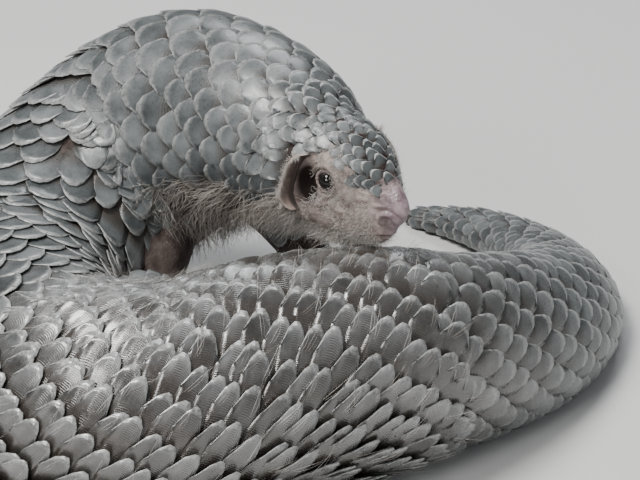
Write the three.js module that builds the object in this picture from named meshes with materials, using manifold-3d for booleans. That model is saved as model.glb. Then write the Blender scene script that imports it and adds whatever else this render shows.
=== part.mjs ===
// A Chinese pangolin at rest, curled round to its own right with its chin on its rump. Millimetres, +Z up.
// The front half stands on folded forelegs, and the hind half lies on its left side along the floor.
import * as THREE from "three";
import { mergeVertices } from "three/addons/utils/BufferGeometryUtils.js";
import { ConvexGeometry } from "three/addons/geometries/ConvexGeometry.js";
import Module from "manifold-3d";

const wasm = await Module();
wasm.setup();

// Frame of the part: this point of the floor, in the coordinates of the lists below, is its origin.
const FLOOR_CENTRE = new THREE.Vector3(-28.5, -8, 0);
const NODE_GAP = 0.3;
const FLOOR_FLAT = 0.6;
const UP = new THREE.Vector3(0, 0, 1);

const vec = (x, y, z) => new THREE.Vector3(x, y, z);
const radians = THREE.MathUtils.degToRad;

// Solids: every closed geometry becomes a manifold-3d body, and a joined body goes back to a mesh.
function solid(geometry) {
  const bare = new THREE.BufferGeometry();
  bare.setAttribute("position", geometry.getAttribute("position"));
  if (geometry.index) bare.setIndex(geometry.index);
  const merged = mergeVertices(bare, 1e-3);
  const triVerts = new Uint32Array(merged.index.array);
  const vertProperties = merged.attributes.position.array;
  const made = new wasm.Manifold(new wasm.Mesh({ numProp: 3, vertProperties, triVerts }));
  if (made.volume() > 0) return made;
  for (let i = 0; i < triVerts.length; i += 3) {
    const first = triVerts[i];
    triVerts[i] = triVerts[i + 1];
    triVerts[i + 1] = first;
  }
  return new wasm.Manifold(new wasm.Mesh({ numProp: 3, vertProperties, triVerts }));
}

const join = (bodies) => wasm.Manifold.union(bodies);

// The largest closed surface of a body, which drops loose scraps and sealed hollows.
function largest(body) {
  const pieces = body.decompose();
  return pieces.reduce((best, piece) => (piece.volume() > best.volume() ? piece : best));
}

// A closed tube through rings of points, each end closed by a fan.
function tube(rings) {
  const sides = rings[0].length;
  const points = rings.flat();
  const faces = [];
  for (let k = 0; k + 1 < rings.length; k++) {
    for (let i = 0; i < sides; i++) {
      const a = k * sides + i;
      const b = k * sides + ((i + 1) % sides);
      faces.push(a, b, b + sides, a, b + sides, a + sides);
    }
  }
  for (const [ring, start, turn] of [[rings[0], 0, 1], [rings.at(-1), points.length - sides, 0]]) {
    const middle = points.length;
    points.push(ring.reduce((sum, p) => sum.add(p), vec(0, 0, 0)).divideScalar(sides));
    for (let i = 0; i < sides; i++) {
      const a = start + i;
      const b = start + ((i + 1) % sides);
      faces.push(...(turn ? [middle, b, a] : [middle, a, b]));
    }
  }
  const geometry = new THREE.BufferGeometry().setFromPoints(points);
  geometry.setIndex(faces);
  return solid(geometry);
}

// A ball of few faces, as points, for the convex pieces of the limbs.
function ballPoints(centre, radius) {
  const ball = new THREE.IcosahedronGeometry(radius, 1);
  const at = ball.getAttribute("position");
  return Array.from({ length: at.count }, (_, i) => vec().fromBufferAttribute(at, i).add(centre));
}

// A chain of rounded lengths, each the hull of two balls, all made larger by the growth.
function limb(joints, growth = 0) {
  const lengths = joints.slice(1).map((end, i) => {
    const [from, wide] = joints[i];
    const [to, narrow] = end;
    const hull = [...ballPoints(from, wide + growth), ...ballPoints(to, narrow + growth)];
    return solid(new ConvexGeometry(hull));
  });
  return join(lengths);
}

// Numbers between the rows of a list, at a place counted in rows, by a smooth curve through them.
function between(rows, place) {
  const last = rows.length - 1;
  const row = Math.min(Math.max(Math.floor(place), 0), last - 1);
  const t = place - row;
  const [p0, p1, p2, p3] = [row - 1, row, row + 1, row + 2].map((k) => rows[Math.min(Math.max(k, 0), last)]);
  return p1.map((value, i) => {
    const slope = p2[i] - p0[i];
    const bend = 2 * p0[i] - 5 * value + 4 * p2[i] - p3[i];
    const twist = 3 * value - p0[i] - 3 * p2[i] + p3[i];
    return value + 0.5 * t * (slope + t * (bend + t * twist));
  });
}

// Spine from inside the head to the tail's tip. Each row is a place along it: x, y, then the half width,
// the half depth to the back and to the belly, the roll to the left in degrees, the splay of the scutes
// in degrees, and the height of the spine, which is left out where the body lies on the floor.
const SPINE = [
  [8, -47, 24, 26, 24, 0, 5, 160],
  [-7, -27, 40, 42, 37, 0, 5, 160],
  [-36, 14, 52, 55, 48, 0, 10, 154],
  [-72, 54, 63, 69, 60, 0, 18, 136],
  [-108, 66, 67, 70, 64, 4, 24, 112],
  [-142, 46, 67, 70, 64, 15, 30, 88],
  [-168, -4, 67, 70, 62, 40, 36],
  [-170, -68, 66, 70, 58, 68, 42],
  [-141, -124, 65, 71, 55, 86, 46],
  [-92, -146, 65, 71, 55, 93, 50],
  [-30, -121, 67, 66, 56, 95, 50],
  [30, -95, 64, 56, 50, 92, 45],
  [86, -60, 53, 41, 36, 78, 30],
  [130, -10, 44, 29, 26, 55, 18],
  [150, 55, 37, 22, 19, 34, 12],
  [139, 118, 29, 16, 14, 18, 8],
  [106, 165, 20, 11, 10, 8, 5],
  [66, 190, 9, 6, 6, 0, 5],
  [58, 192, 4, 3, 3, 0, 5],
].map(([x, y, wide, back, belly, roll, splay, height]) => {
  const lying = Math.hypot(wide * Math.sin(radians(roll)), belly * Math.cos(radians(roll))) - FLOOR_FLAT;
  return [x, y, height ?? lying, wide, back, belly, roll, splay];
});
const SPINE_END = SPINE.length - 1;

// The body's own directions at a place on the spine: towards the tail, to the right and to the back.
function spineAt(place) {
  const [x, y, z, wide, back, belly, roll, splay] = between(SPINE, place);
  const step = 0.02;
  const ahead = vec(...between(SPINE, Math.min(place + step, SPINE_END)));
  const behind = vec(...between(SPINE, Math.max(place - step, 0)));
  const tailward = ahead.sub(behind).normalize();
  const level = vec().crossVectors(UP, tailward).normalize();
  const above = vec().crossVectors(tailward, level);
  const cos = Math.cos(radians(roll));
  const sin = Math.sin(radians(roll));
  return {
    centre: vec(x, y, z),
    tailward,
    right: level.clone().multiplyScalar(cos).addScaledVector(above, sin),
    up: above.clone().multiplyScalar(cos).addScaledVector(level, -sin),
    wide,
    back,
    belly,
    splay,
  };
}

// A point of the body's skin: the turn is 0 on the back, 90 on the right flank, 180 on the belly.
function skinAt(place, turn) {
  const { centre, right, up, wide, back, belly } = spineAt(place);
  const cos = Math.cos(radians(turn));
  const depth = cos > 0 ? back : belly;
  return centre.clone().addScaledVector(right, wide * Math.sin(radians(turn))).addScaledVector(up, depth * cos);
}

const BODY_SIDES = 14;
const TAIL_SIDES = 12;
const TAIL_START = 10.9;
function bodyLength(from, to) {
  const sides = from < TAIL_START - 1 ? BODY_SIDES : TAIL_SIDES;
  const rings = [];
  const steps = Math.ceil(to - from);
  for (let k = 0; k <= steps; k++) {
    const place = from + ((to - from) * k) / steps;
    rings.push(Array.from({ length: sides }, (_, i) => skinAt(place, (360 * i) / sides)));
  }
  return tube(rings);
}

// Head: its own frame starts at the nose tip, and points are given forward, right and up from there.
const NOSE_TIP = vec(47, -97, 163);
const HEAD_YAW = radians(52);
const HEAD_PITCH = radians(1.5);
const FORWARD = vec(Math.cos(HEAD_YAW) * Math.cos(HEAD_PITCH), -Math.sin(HEAD_YAW) * Math.cos(HEAD_PITCH),
  Math.sin(HEAD_PITCH));
const RIGHT = vec(-Math.sin(HEAD_YAW), -Math.cos(HEAD_YAW), 0);
const HEAD_UP = vec().crossVectors(RIGHT, FORWARD);

function headPoint(forward, right, up) {
  return NOSE_TIP.clone().addScaledVector(FORWARD, forward).addScaledVector(RIGHT, right)
    .addScaledVector(HEAD_UP, up);
}

// Sections of the head from the nose back: distance forward, half width, top and bottom.
const HEAD_SECTIONS = [
  [0, 3.5, 0, -9.5],
  [-3, 5.5, 2.8, -13.5],
  [-8, 7.8, 6.4, -19.2],
  [-14, 10.6, 11.2, -25.4],
  [-22, 14.4, 18.2, -31.6],
  [-34, 19.5, 26, -34],
  [-46, 22.5, 30, -35],
  [-60, 27, 32, -36],
  [-75, 30, 33, -37],
  [-90, 27, 27, -31],
];
const HEAD_SIDES = 18;

// Brow: a soft ridge of each side over the eye, highest at one turn and one distance behind the nose.
const BROW = { height: 2.6, turn: 48, halfTurn: 24, forward: -36, halfLength: 20 };

function browHeight(forward, turn) {
  const fromCrown = Math.abs(turn > 180 ? turn - 360 : turn);
  const aside = (fromCrown - BROW.turn) / BROW.halfTurn;
  const ahead = (forward - BROW.forward) / BROW.halfLength;
  return BROW.height * Math.exp(-aside * aside - ahead * ahead);
}

// A point of the head's skin, at a place counted in sections: the turn is 0 on the crown, 90 on the right.
function headSkin(place, turn) {
  const [forward, wide, top, bottom] = between(HEAD_SECTIONS, place);
  const brow = browHeight(forward, turn);
  const height = (top + bottom) / 2 + ((top - bottom) / 2 + brow) * Math.cos(radians(turn));
  return headPoint(forward, (wide + brow) * Math.sin(radians(turn)), height);
}

function headLoft() {
  return tube(HEAD_SECTIONS.map((_, place) =>
    Array.from({ length: HEAD_SIDES }, (_side, i) => headSkin(place, (360 * i) / HEAD_SIDES))));
}

// Limbs: the place on the spine that each is beside, the joints from the body to the ankle as x, y, z and
// half thickness, then the toes and the lengths of the claws.
const LIMBS = {
  front_right: {
    beside: 3.6,
    joints: [[-97, 30, 92, 30], [-100, -8, 60, 19], [-76, -20, 24, 13]],
    toes: [-52, -24, 11],
    clawLengths: [12, 26, 34, 24, 12],
  },
  front_left: {
    beside: 3.6,
    joints: [[-42, 76, 98, 30], [-26, 100, 56, 19], [-4, 92, 24, 13]],
    toes: [18, 82, 11],
    clawLengths: [12, 26, 34, 24, 12],
  },
  hind_right: {
    beside: 9,
    joints: [[-80, -118, 84, 34], [-98, -80, 84, 24], [-72, -66, 60, 15]],
    toes: [-52, -54, 46],
    clawLengths: [9, 14, 16, 14, 9],
  },
  hind_left: {
    beside: 9,
    joints: [[-78, -112, 34, 30], [-98, -76, 28, 22], [-72, -64, 18, 14]],
    toes: [-48, -54, 10],
    clawLengths: [9, 14, 16, 14, 9],
  },
};
const PALM_HALF_WIDTH = 9;
const TOE_RADIUS = 10;
// A claw drops towards its tip, and its middle is thinner and a little higher than its root. Lengths are in
// millimetres, and the drop, the fan and the middle are shares of the claw's length or radius.
const CLAW = { radius: 3.4, sides: 4, drop: 0.3, sunk: 5, fan: 0.28 };
const CLAW_MIDDLE = { along: 0.55, size: 0.75, lift: 0.06 };
const OUTER_CLAW_BACK = 3;
const OUTER_CLAW_SIDE = 4;

// One length of a limb between two of its joints, with its scutes, whose corners need more clearance.
const PLATE_CLEARANCE = 1.5;
function limbLength(shape, first, growth) {
  const ends = shape.joints.slice(first, first + 2).map(([x, y, z, r]) => [vec(x, y, z), r]);
  return join([limb(ends, growth), ...legScutes(shape, first, growth * PLATE_CLEARANCE)]);
}

// A claw: a tapering horn from its ring of points at the toe, over a higher middle, down to its tip.
function claw(base, along, across, length, growth) {
  const radius = CLAW.radius + growth;
  const tip = base.clone().addScaledVector(along, length + growth).addScaledVector(UP, -CLAW.drop * length);
  const points = [tip];
  for (const { along: share, size, lift } of [{ along: 0, size: 1, lift: 0 }, CLAW_MIDDLE]) {
    for (let i = 0; i < CLAW.sides; i++) {
      const turn = (2 * Math.PI * i) / CLAW.sides;
      points.push(base.clone().addScaledVector(along, length * share)
        .addScaledVector(across, radius * size * Math.sin(turn))
        .addScaledVector(UP, radius * size * Math.cos(turn) + lift * length));
    }
  }
  return solid(new ConvexGeometry(points));
}

// A foot: the hull of the ankle and of two balls across the toes, with its fan of claws.
function footBody({ joints, toes, clawLengths }, growth) {
  const [x, y, z, thick] = joints.at(-1);
  const ankle = vec(x, y, z);
  const front = vec(...toes);
  const along = front.clone().sub(ankle).setZ(0).normalize();
  const across = vec().crossVectors(along, UP);
  const toeBalls = [-1, 1].flatMap((side) =>
    ballPoints(front.clone().addScaledVector(across, side * PALM_HALF_WIDTH), TOE_RADIUS + growth));
  const paw = solid(new ConvexGeometry([...ballPoints(ankle, thick + growth), ...toeBalls]));
  const claws = clawLengths.map((length, i) => {
    const spread = (i - 2) / 2;
    const direction = along.clone().addScaledVector(across, CLAW.fan * spread).normalize();
    const base = front.clone().addScaledVector(across, spread * (PALM_HALF_WIDTH + OUTER_CLAW_SIDE))
      .addScaledVector(direction, TOE_RADIUS - CLAW.sunk - OUTER_CLAW_BACK * Math.abs(spread));
    return claw(base, direction, across, length + CLAW.sunk, growth);
  });
  return join([paw, ...claws]);
}

// Eyes: a ball of each side in a socket with a round lid.
const EYE_RADIUS = 4.8;
const EYE_PLACE = [-44.5, 19, 4];
const LID = { radius: 5.4, halfThickness: 1.7, lift: 1.6, forward: 0.25, up: 0.15 };
const LID_SIDES = { tube: 5, ring: 12 };

function ball(centre, radius) {
  const shape = new THREE.SphereGeometry(radius, 10, 6);
  shape.translate(centre.x, centre.y, centre.z);
  return solid(shape);
}

function eyeBall(side, growth) {
  const [forward, right, up] = EYE_PLACE;
  return ball(headPoint(forward, right * side, up), EYE_RADIUS + growth);
}

// Turns a shape that faces +Z so that it faces along a direction, then moves it to a point.
function faced(shape, direction, centre) {
  shape.applyQuaternion(new THREE.Quaternion().setFromUnitVectors(UP, direction.clone().normalize()));
  shape.translate(centre.x, centre.y, centre.z);
  return solid(shape);
}

function eyeLid(side) {
  const [forward, right, up] = EYE_PLACE;
  const outward = headPoint(LID.forward, side, LID.up).sub(NOSE_TIP).normalize();
  const centre = headPoint(forward, right * side, up).addScaledVector(outward, LID.lift);
  const ring = new THREE.TorusGeometry(LID.radius, LID.halfThickness, LID_SIDES.tube, LID_SIDES.ring);
  return faced(ring, outward, centre);
}

// Ears: a curved flap of each side, from its root on the head to its free edge, and a hollow before it.
const EAR_ROOT = [[-54, 23, 17], [-60, 25, 13], [-64, 27, 5], [-66, 28, -4], [-66, 28, -12], [-63, 27, -18]];
const EAR_EDGE = [
  [-56, 26, 20],
  [-63.5, 31, 17],
  [-69, 34, 8.5],
  [-71, 35.5, -2],
  [-72, 36.5, -12],
  [-68, 34, -20],
];
const EAR_SIDES = 8;
const EAR_HALF_THICKNESS = 2.2;
const EAR_HOLLOW = { centre: [-58, 27, -2], size: [6, 6, 12] };

function earFlap(side, growth) {
  const rings = EAR_ROOT.map(([forward, right, up], i) => {
    const root = headPoint(forward, right * side, up);
    const [edgeForward, edgeRight, edgeUp] = EAR_EDGE[i];
    const edge = headPoint(edgeForward, edgeRight * side, edgeUp);
    const middle = root.clone().add(edge).multiplyScalar(0.5);
    const half = edge.clone().sub(middle);
    const reach = half.length() + growth;
    half.normalize();
    const line = headPoint(0, 0, -1).sub(NOSE_TIP);
    const thick = vec().crossVectors(half, line).normalize().multiplyScalar(EAR_HALF_THICKNESS + growth);
    return Array.from({ length: EAR_SIDES }, (_, k) => {
      const turn = (2 * Math.PI * k) / EAR_SIDES;
      return middle.clone().addScaledVector(half, reach * Math.cos(turn)).addScaledVector(thick, Math.sin(turn));
    });
  });
  for (const [ring, direction] of [[rings[0], 1], [rings.at(-1), -1]]) {
    const shift = headPoint(0, 0, direction * growth).sub(NOSE_TIP);
    ring.forEach((point) => point.add(shift));
  }
  return tube(rings);
}

function headHollow([forward, right, up], [lengthwise, outward, upward], side) {
  const shape = new THREE.SphereGeometry(1, 8, 6);
  const turned = new THREE.Matrix4().makeBasis(FORWARD, RIGHT, HEAD_UP);
  shape.scale(lengthwise, outward, upward);
  shape.applyMatrix4(turned);
  const centre = headPoint(forward, right * side, up);
  shape.translate(centre.x, centre.y, centre.z);
  return solid(shape);
}

// Nose and mouth: two nostrils, and a slit that parts the lips.
const NOSTRIL = { centre: [-9.2, 7.6, -12.6], size: [2.8, 2.8, 3] };
const MOUTH = { reach: 34, width: 60, height: 0.9, up: -25.5 };

function mouthSlit() {
  const slit = new THREE.BoxGeometry(MOUTH.reach, MOUTH.width, MOUTH.height);
  slit.applyMatrix4(new THREE.Matrix4().makeBasis(FORWARD, RIGHT.clone().negate(), HEAD_UP));
  const centre = headPoint(-MOUTH.reach / 2, 0, MOUTH.up);
  slit.translate(centre.x, centre.y, centre.z);
  return solid(slit);
}

// Scutes: convex plates with a sunk root and a raised free tip, laid in staggered rows over a surface.
const SCUTE_SINK = 7;
const SCUTE_OVERLAP = 1.08;
const SCUTE_SPREAD = 0.96;
const SCUTE_LONGEST = 2.3;

// A plate's outline: its half width at the root, in the middle and at the tip as shares of its width, the
// depth of its root in millimetres, the place of its crest along it, and the height of its middle edges.
const PLATE = { rootHalf: 0.32, middleHalf: 0.5, tipHalf: 0.22, rootDepth: 0.5, crest: 0.7, middleRise: 0.6 };

// One plate over the skin, from points along it and across it as shares of its size, and heights over the
// skin, whose point at a distance along and across from the root is given by a function.
function scute({ skinPoint, out, length, width, rise }, growth = 0) {
  const place = (a, b, h) =>
    skinPoint(a * length + (2 * a - 1) * growth, b * width + 2 * Math.sign(b) * growth)
      .addScaledVector(out, h + growth);
  const points = [place(0.5, 0, -SCUTE_SINK - 2 * growth), place(PLATE.crest, 0, rise)];
  for (const side of [1, -1]) {
    const root = PLATE.rootHalf * side;
    const tip = PLATE.tipHalf * side;
    points.push(place(0, root, -PLATE.rootDepth), place(1, tip, rise));
    points.push(place(0.5, PLATE.middleHalf * side, PLATE.middleRise * rise));
    if (growth) points.push(place(0, root, -PLATE.rootDepth - 2 * growth), place(1, tip, rise - 2 * growth));
  }
  return solid(new ConvexGeometry(points));
}

// The scutes of one region of a surface, with the place of each root, so that each node takes its own.
// Where the surface is stretched along the outside of a bend, a further row fills in between two rows.
const MOST_COLUMNS = 9;
const FULL_SPLAY_TURN = 40;
function scuteRows(surface, { from, to, rows, turnStep, turnLimit, rise, splay }) {
  const made = [];
  const rowStep = (to - from) / rows;
  for (let row = 0; row < rows; row += 0.5) {
    const place = from + rowStep * row;
    for (let column = -MOST_COLUMNS; column <= MOST_COLUMNS; column++) {
      const turn = (column + ((row / 2) % 1)) * turnStep;
      if (Math.abs(turn) > turnLimit) continue;
      const root = surface(place, turn);
      const lengthwise = surface(place + rowStep, turn).sub(root);
      const sideways = surface(place, turn + turnStep).sub(root);
      const width = sideways.length() * SCUTE_SPREAD;
      const stretched = lengthwise.length() > SCUTE_LONGEST * width;
      if (row % 1 && !stretched) continue;
      const length = lengthwise.length() * SCUTE_OVERLAP * (stretched ? 0.5 : 1);
      const out = vec().crossVectors(lengthwise, sideways).normalize();
      const tailward = lengthwise.clone().normalize();
      const around = vec().crossVectors(out, tailward);
      const lean = radians(splay(place) * Math.min(Math.abs(turn) / FULL_SPLAY_TURN, 1)) * Math.sign(turn);
      const skinPoint = (forth, aside) => surface(
        place + (rowStep / lengthwise.length()) * (forth * Math.cos(lean) - aside * Math.sin(lean)),
        turn + (turnStep / sideways.dot(around)) * (forth * Math.sin(lean) + aside * Math.cos(lean)));
      made.push({ place, root, body: scute({ skinPoint, out, length, width, rise }) });
    }
  }
  return made;
}

// The scutes on the outer side of one length of a limb, away from the spine, with their tips to the foot.
const LEG_SCUTES = { rows: 2, columns: 3, turnStep: 44, rise: 2, lift: -0.6 };

function legScutes({ joints, beside }, first, growth) {
  const [[x, y, z, wide], [endX, endY, endZ, narrow]] = joints.slice(first, first + 2);
  const from = vec(x, y, z);
  const to = vec(endX, endY, endZ);
  const along = to.clone().sub(from).normalize();
  const outward = from.clone().sub(spineAt(beside).centre);
  outward.addScaledVector(along, -outward.dot(along)).normalize();
  const step = from.distanceTo(to) / LEG_SCUTES.rows;
  const made = [];
  for (let row = 0; row < LEG_SCUTES.rows; row++) {
    const radius = wide + ((narrow - wide) * row) / LEG_SCUTES.rows;
    for (let column = 0; column < LEG_SCUTES.columns - (row % 2); column++) {
      const turn = (column - (LEG_SCUTES.columns - 1 - (row % 2)) / 2) * LEG_SCUTES.turnStep;
      const out = outward.clone().applyAxisAngle(along, radians(turn));
      const root = from.clone().addScaledVector(along, row * step).addScaledVector(out, radius + LEG_SCUTES.lift);
      const across = vec().crossVectors(out, along);
      const skinPoint = (forth, aside) =>
        root.clone().addScaledVector(along, forth).addScaledVector(across, aside);
      const width = radius * radians(LEG_SCUTES.turnStep) * SCUTE_SPREAD;
      const length = step * SCUTE_OVERLAP;
      made.push(scute({ skinPoint, out, length, width, rise: LEG_SCUTES.rise }, growth));
    }
  }
  return made;
}

const bodySplay = (place) => spineAt(place).splay;
const BODY_SCUTES = [
  { from: 0.95, to: 3, rows: 4, turnStep: 32, turnLimit: 96, rise: 3, splay: bodySplay },
  { from: 3, to: TAIL_START, rows: 10, turnStep: 36, turnLimit: 100, rise: 4.5, splay: bodySplay },
  { from: TAIL_START, to: 15.6, rows: 6, turnStep: 60, turnLimit: 120, rise: 3.5, splay: bodySplay },
  { from: 15.6, to: 17.6, rows: 2, turnStep: 72, turnLimit: 150, rise: 2, splay: bodySplay },
].flatMap((region) => scuteRows(skinAt, region));

const HEAD_SCUTES = scuteRows(headSkin, {
  from: 3.6, to: 8.4, rows: 4, turnStep: 30, turnLimit: 60, rise: 1.8, splay: () => 25,
});

// Materials: one for each node.
const SCALE_GREY = 0x7d8585;
const SKIN_PINK = 0xa08c86;
const EYE_BLACK = 0x0b0b0d;

function nodeMesh(name, body, color, roughness) {
  const data = body.getMesh();
  const points = new Float32Array(data.numVert * 3);
  for (let i = 0; i < data.numVert; i++) {
    points[i * 3] = data.vertProperties[i * data.numProp] - FLOOR_CENTRE.x;
    points[i * 3 + 1] = data.vertProperties[i * data.numProp + 1] - FLOOR_CENTRE.y;
    points[i * 3 + 2] = data.vertProperties[i * data.numProp + 2];
  }
  const geometry = new THREE.BufferGeometry();
  geometry.setAttribute("position", new THREE.BufferAttribute(points, 3));
  geometry.setIndex(new THREE.BufferAttribute(data.triVerts, 1));
  const mesh = new THREE.Mesh(geometry, new THREE.MeshStandardMaterial({ color, roughness }));
  mesh.name = name;
  return mesh;
}

// Lengths of the body, each between two places on the spine.
const BODY_LENGTHS = [
  ["neck", 1.35, 2.5],
  ["shoulders", 2.5, 4],
  ["chest", 4, 5.4],
  ["belly", 5.4, 6.8],
  ["loins", 6.8, 8.2],
  ["hips", 8.2, 9.6],
  ["rump", 9.6, TAIL_START],
  ["tail_1", TAIL_START, 12],
  ["tail_2", 12, 13.1],
  ["tail_3", 13.1, 14.3],
  ["tail_4", 14.3, 15.5],
  ["tail_5", 15.5, SPINE_END],
];

// How far a length's bare form goes on past its two cuts, and how far its scutes' roots may lie past them.
const LENGTH_REACH = 0.9;
const ROOTS_BEFORE = 1;
const ROOTS_AFTER = 0.2;
const NECK_REACH = 0.35;

// Cuts a body off at a place on the spine, keeping the side towards the tail or towards the head.
function trimAt(body, place, towardsTail) {
  const { centre, tailward } = spineAt(place);
  const normal = towardsTail ? tailward : tailward.clone().negate();
  return body.trimByPlane([normal.x, normal.y, normal.z], centre.dot(normal) + NODE_GAP / 2);
}

const aboveFloor = (body) => body.trimByPlane([0, 0, 1], 0);
const without = (body, others) => others.reduce((rest, other) => rest.subtract(other), body);

// The nodes, each cut back from the grown copies of those that were placed before it.
const part = new THREE.Group();
part.name = "pangolin";
const placed = [];

for (const [name, shape] of Object.entries(LIMBS)) {
  const pieces = [
    ["foot", footBody(shape, 0), footBody(shape, NODE_GAP), SKIN_PINK],
    ["lower", limbLength(shape, 1, 0), limbLength(shape, 1, NODE_GAP), SCALE_GREY],
    ["upper", limbLength(shape, 0, 0), limbLength(shape, 0, NODE_GAP), SCALE_GREY],
  ];
  for (const [piece, body, grown, color] of pieces) {
    part.add(nodeMesh(`${piece}_${name}`, largest(aboveFloor(without(body, placed))), color, 0.5));
    placed.push(grown);
  }
}

for (const [name, from, to] of BODY_LENGTHS) {
  const own = BODY_SCUTES.filter(({ place }) => place > from - ROOTS_BEFORE && place < to + ROOTS_AFTER);
  const bare = bodyLength(Math.max(from - LENGTH_REACH, 0), Math.min(to + LENGTH_REACH, SPINE_END));
  let body = trimAt(join([bare, ...own.map((one) => one.body)]), from, true);
  if (to < SPINE_END) body = trimAt(body, to, false);
  part.add(nodeMesh(name, largest(aboveFloor(without(body, placed))), SCALE_GREY, 0.45));
}

const NECK_START = BODY_LENGTHS[0][1];
const neckScutes = BODY_SCUTES.filter(({ place }) => place < NECK_START);
const skull = join([headLoft(), bodyLength(0, NECK_START + NECK_REACH), eyeLid(1), eyeLid(-1),
  ...[...HEAD_SCUTES, ...neckScutes].map((one) => one.body)]);
const hollows = [mouthSlit()];
for (const [sideName, side] of [["right", 1], ["left", -1]]) {
  const flap = earFlap(side, 0);
  part.add(nodeMesh(`eye_${sideName}`, eyeBall(side, 0), EYE_BLACK, 0.08));
  part.add(nodeMesh(`ear_${sideName}`, flap, SKIN_PINK, 0.6));
  hollows.push(eyeBall(side, NODE_GAP), earFlap(side, NODE_GAP));
  hollows.push(headHollow(NOSTRIL.centre, NOSTRIL.size, side));
  hollows.push(headHollow(EAR_HOLLOW.centre, EAR_HOLLOW.size, side));
}
part.add(nodeMesh("head", largest(without(trimAt(skull, NECK_START, false), hollows)), SKIN_PINK, 0.6));

export default part;
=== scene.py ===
"""A Chinese pangolin at rest, curled to its own right with its chin on its rump, as a museum model."""
import math
import random

import bmesh
import bpy
from mathutils import Matrix, Vector, noise


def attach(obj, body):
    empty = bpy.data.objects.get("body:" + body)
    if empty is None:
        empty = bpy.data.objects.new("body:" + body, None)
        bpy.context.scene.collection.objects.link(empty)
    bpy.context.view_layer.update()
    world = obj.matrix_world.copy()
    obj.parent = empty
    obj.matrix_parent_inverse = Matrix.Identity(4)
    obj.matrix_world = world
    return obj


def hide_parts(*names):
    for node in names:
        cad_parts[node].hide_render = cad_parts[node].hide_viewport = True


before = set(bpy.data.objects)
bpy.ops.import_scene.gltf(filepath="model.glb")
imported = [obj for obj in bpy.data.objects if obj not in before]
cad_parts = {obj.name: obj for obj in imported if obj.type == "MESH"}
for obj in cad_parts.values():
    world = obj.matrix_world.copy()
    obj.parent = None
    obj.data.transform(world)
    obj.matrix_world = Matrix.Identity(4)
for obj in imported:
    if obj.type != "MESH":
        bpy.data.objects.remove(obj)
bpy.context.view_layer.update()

# Camera: level with a person who sits on the floor beside the animal, looking down a little at its
# right cheek, from far enough away that the head and the rump in front of it keep their true sizes.
FLOOR_CENTRE = Vector((-0.0285, -0.008, 0.0))
VIEW_POINT = Vector((0.0, -0.085, 0.135)) - FLOOR_CENTRE
VIEW_DISTANCE = 1.6
VIEW_ELEVATION = math.radians(28)
VIEW_WIDTH = 0.352
SENSOR_WIDTH = 36
FURTHEST_VIEW = 20

camera_data = bpy.data.cameras.new("camera")
camera_data.sensor_width = SENSOR_WIDTH
camera_data.lens = SENSOR_WIDTH * VIEW_DISTANCE / VIEW_WIDTH
camera_data.clip_end = FURTHEST_VIEW
camera = bpy.data.objects.new("camera", camera_data)
camera.location = VIEW_POINT + VIEW_DISTANCE * Vector(
    (0, -math.cos(VIEW_ELEVATION), math.sin(VIEW_ELEVATION)))
camera.rotation_euler = (math.pi / 2 - VIEW_ELEVATION, 0, 0)
bpy.context.collection.objects.link(camera)
bpy.context.scene.camera = camera

# Body: a long barrel of muscle and soft grey-pink hide, thickest at the loins, that tapers into a broad
# tail. The hide is bare between the scales, and the belly and throat carry only thin hair.

# Each row is a place on the spine in millimetres, half width, half depth to the back and to the belly,
# then the roll to the left and the splay of the scales in degrees, and the height where it is off the floor.
SPINE_ROWS = [
    (8, -47, 24, 26, 24, 0, 5, 160),
    (-7, -27, 40, 42, 37, 0, 5, 160),
    (-36, 14, 52, 55, 48, 0, 10, 154),
    (-72, 54, 63, 69, 60, 0, 18, 136),
    (-108, 66, 67, 70, 64, 4, 24, 112),
    (-142, 46, 67, 70, 64, 15, 30, 88),
    (-168, -4, 67, 70, 62, 40, 36),
    (-170, -68, 66, 70, 58, 68, 42),
    (-141, -124, 65, 71, 55, 86, 46),
    (-92, -146, 65, 71, 55, 93, 50),
    (-30, -121, 67, 66, 56, 95, 50),
    (30, -95, 64, 56, 50, 92, 45),
    (86, -60, 53, 41, 36, 78, 30),
    (130, -10, 44, 29, 26, 55, 18),
    (150, 55, 37, 22, 19, 34, 12),
    (139, 118, 29, 16, 14, 18, 8),
    (106, 165, 20, 11, 10, 8, 5),
    (66, 190, 9, 6, 6, 0, 5),
    (58, 192, 4, 3, 3, 0, 5),
]
FLOOR_FLAT = 0.6
MILLIMETRE = 0.001
TANGENT_STEP = 0.02
HIDE_DEPTH = 0.0012
BODY_RINGS = 170
BODY_SIDES = 96


def spine_row(x, y, wide, back, belly, roll, splay, height=None):
    """A spine row with its height, which follows from the body's own depth where it lies on the floor."""
    turned = math.radians(roll)
    lying = math.hypot(wide * math.sin(turned), belly * math.cos(turned)) - FLOOR_FLAT
    return (x, y, lying if height is None else height, wide, back, belly, roll, splay)


SPINE = [spine_row(*row) for row in SPINE_ROWS]
SPINE_END = len(SPINE) - 1


def between(rows, place):
    """Numbers between the rows of a list, by a smooth curve through them."""
    last = len(rows) - 1
    row = min(max(math.floor(place), 0), last - 1)
    t = place - row
    p0, p1, p2, p3 = (rows[min(max(k, 0), last)] for k in (row - 1, row, row + 1, row + 2))
    return [b + 0.5 * t * (c - a + t * (2 * a - 5 * b + 4 * c - d + t * (3 * b - a - 3 * c + d)))
            for a, b, c, d in zip(p0, p1, p2, p3)]


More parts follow.
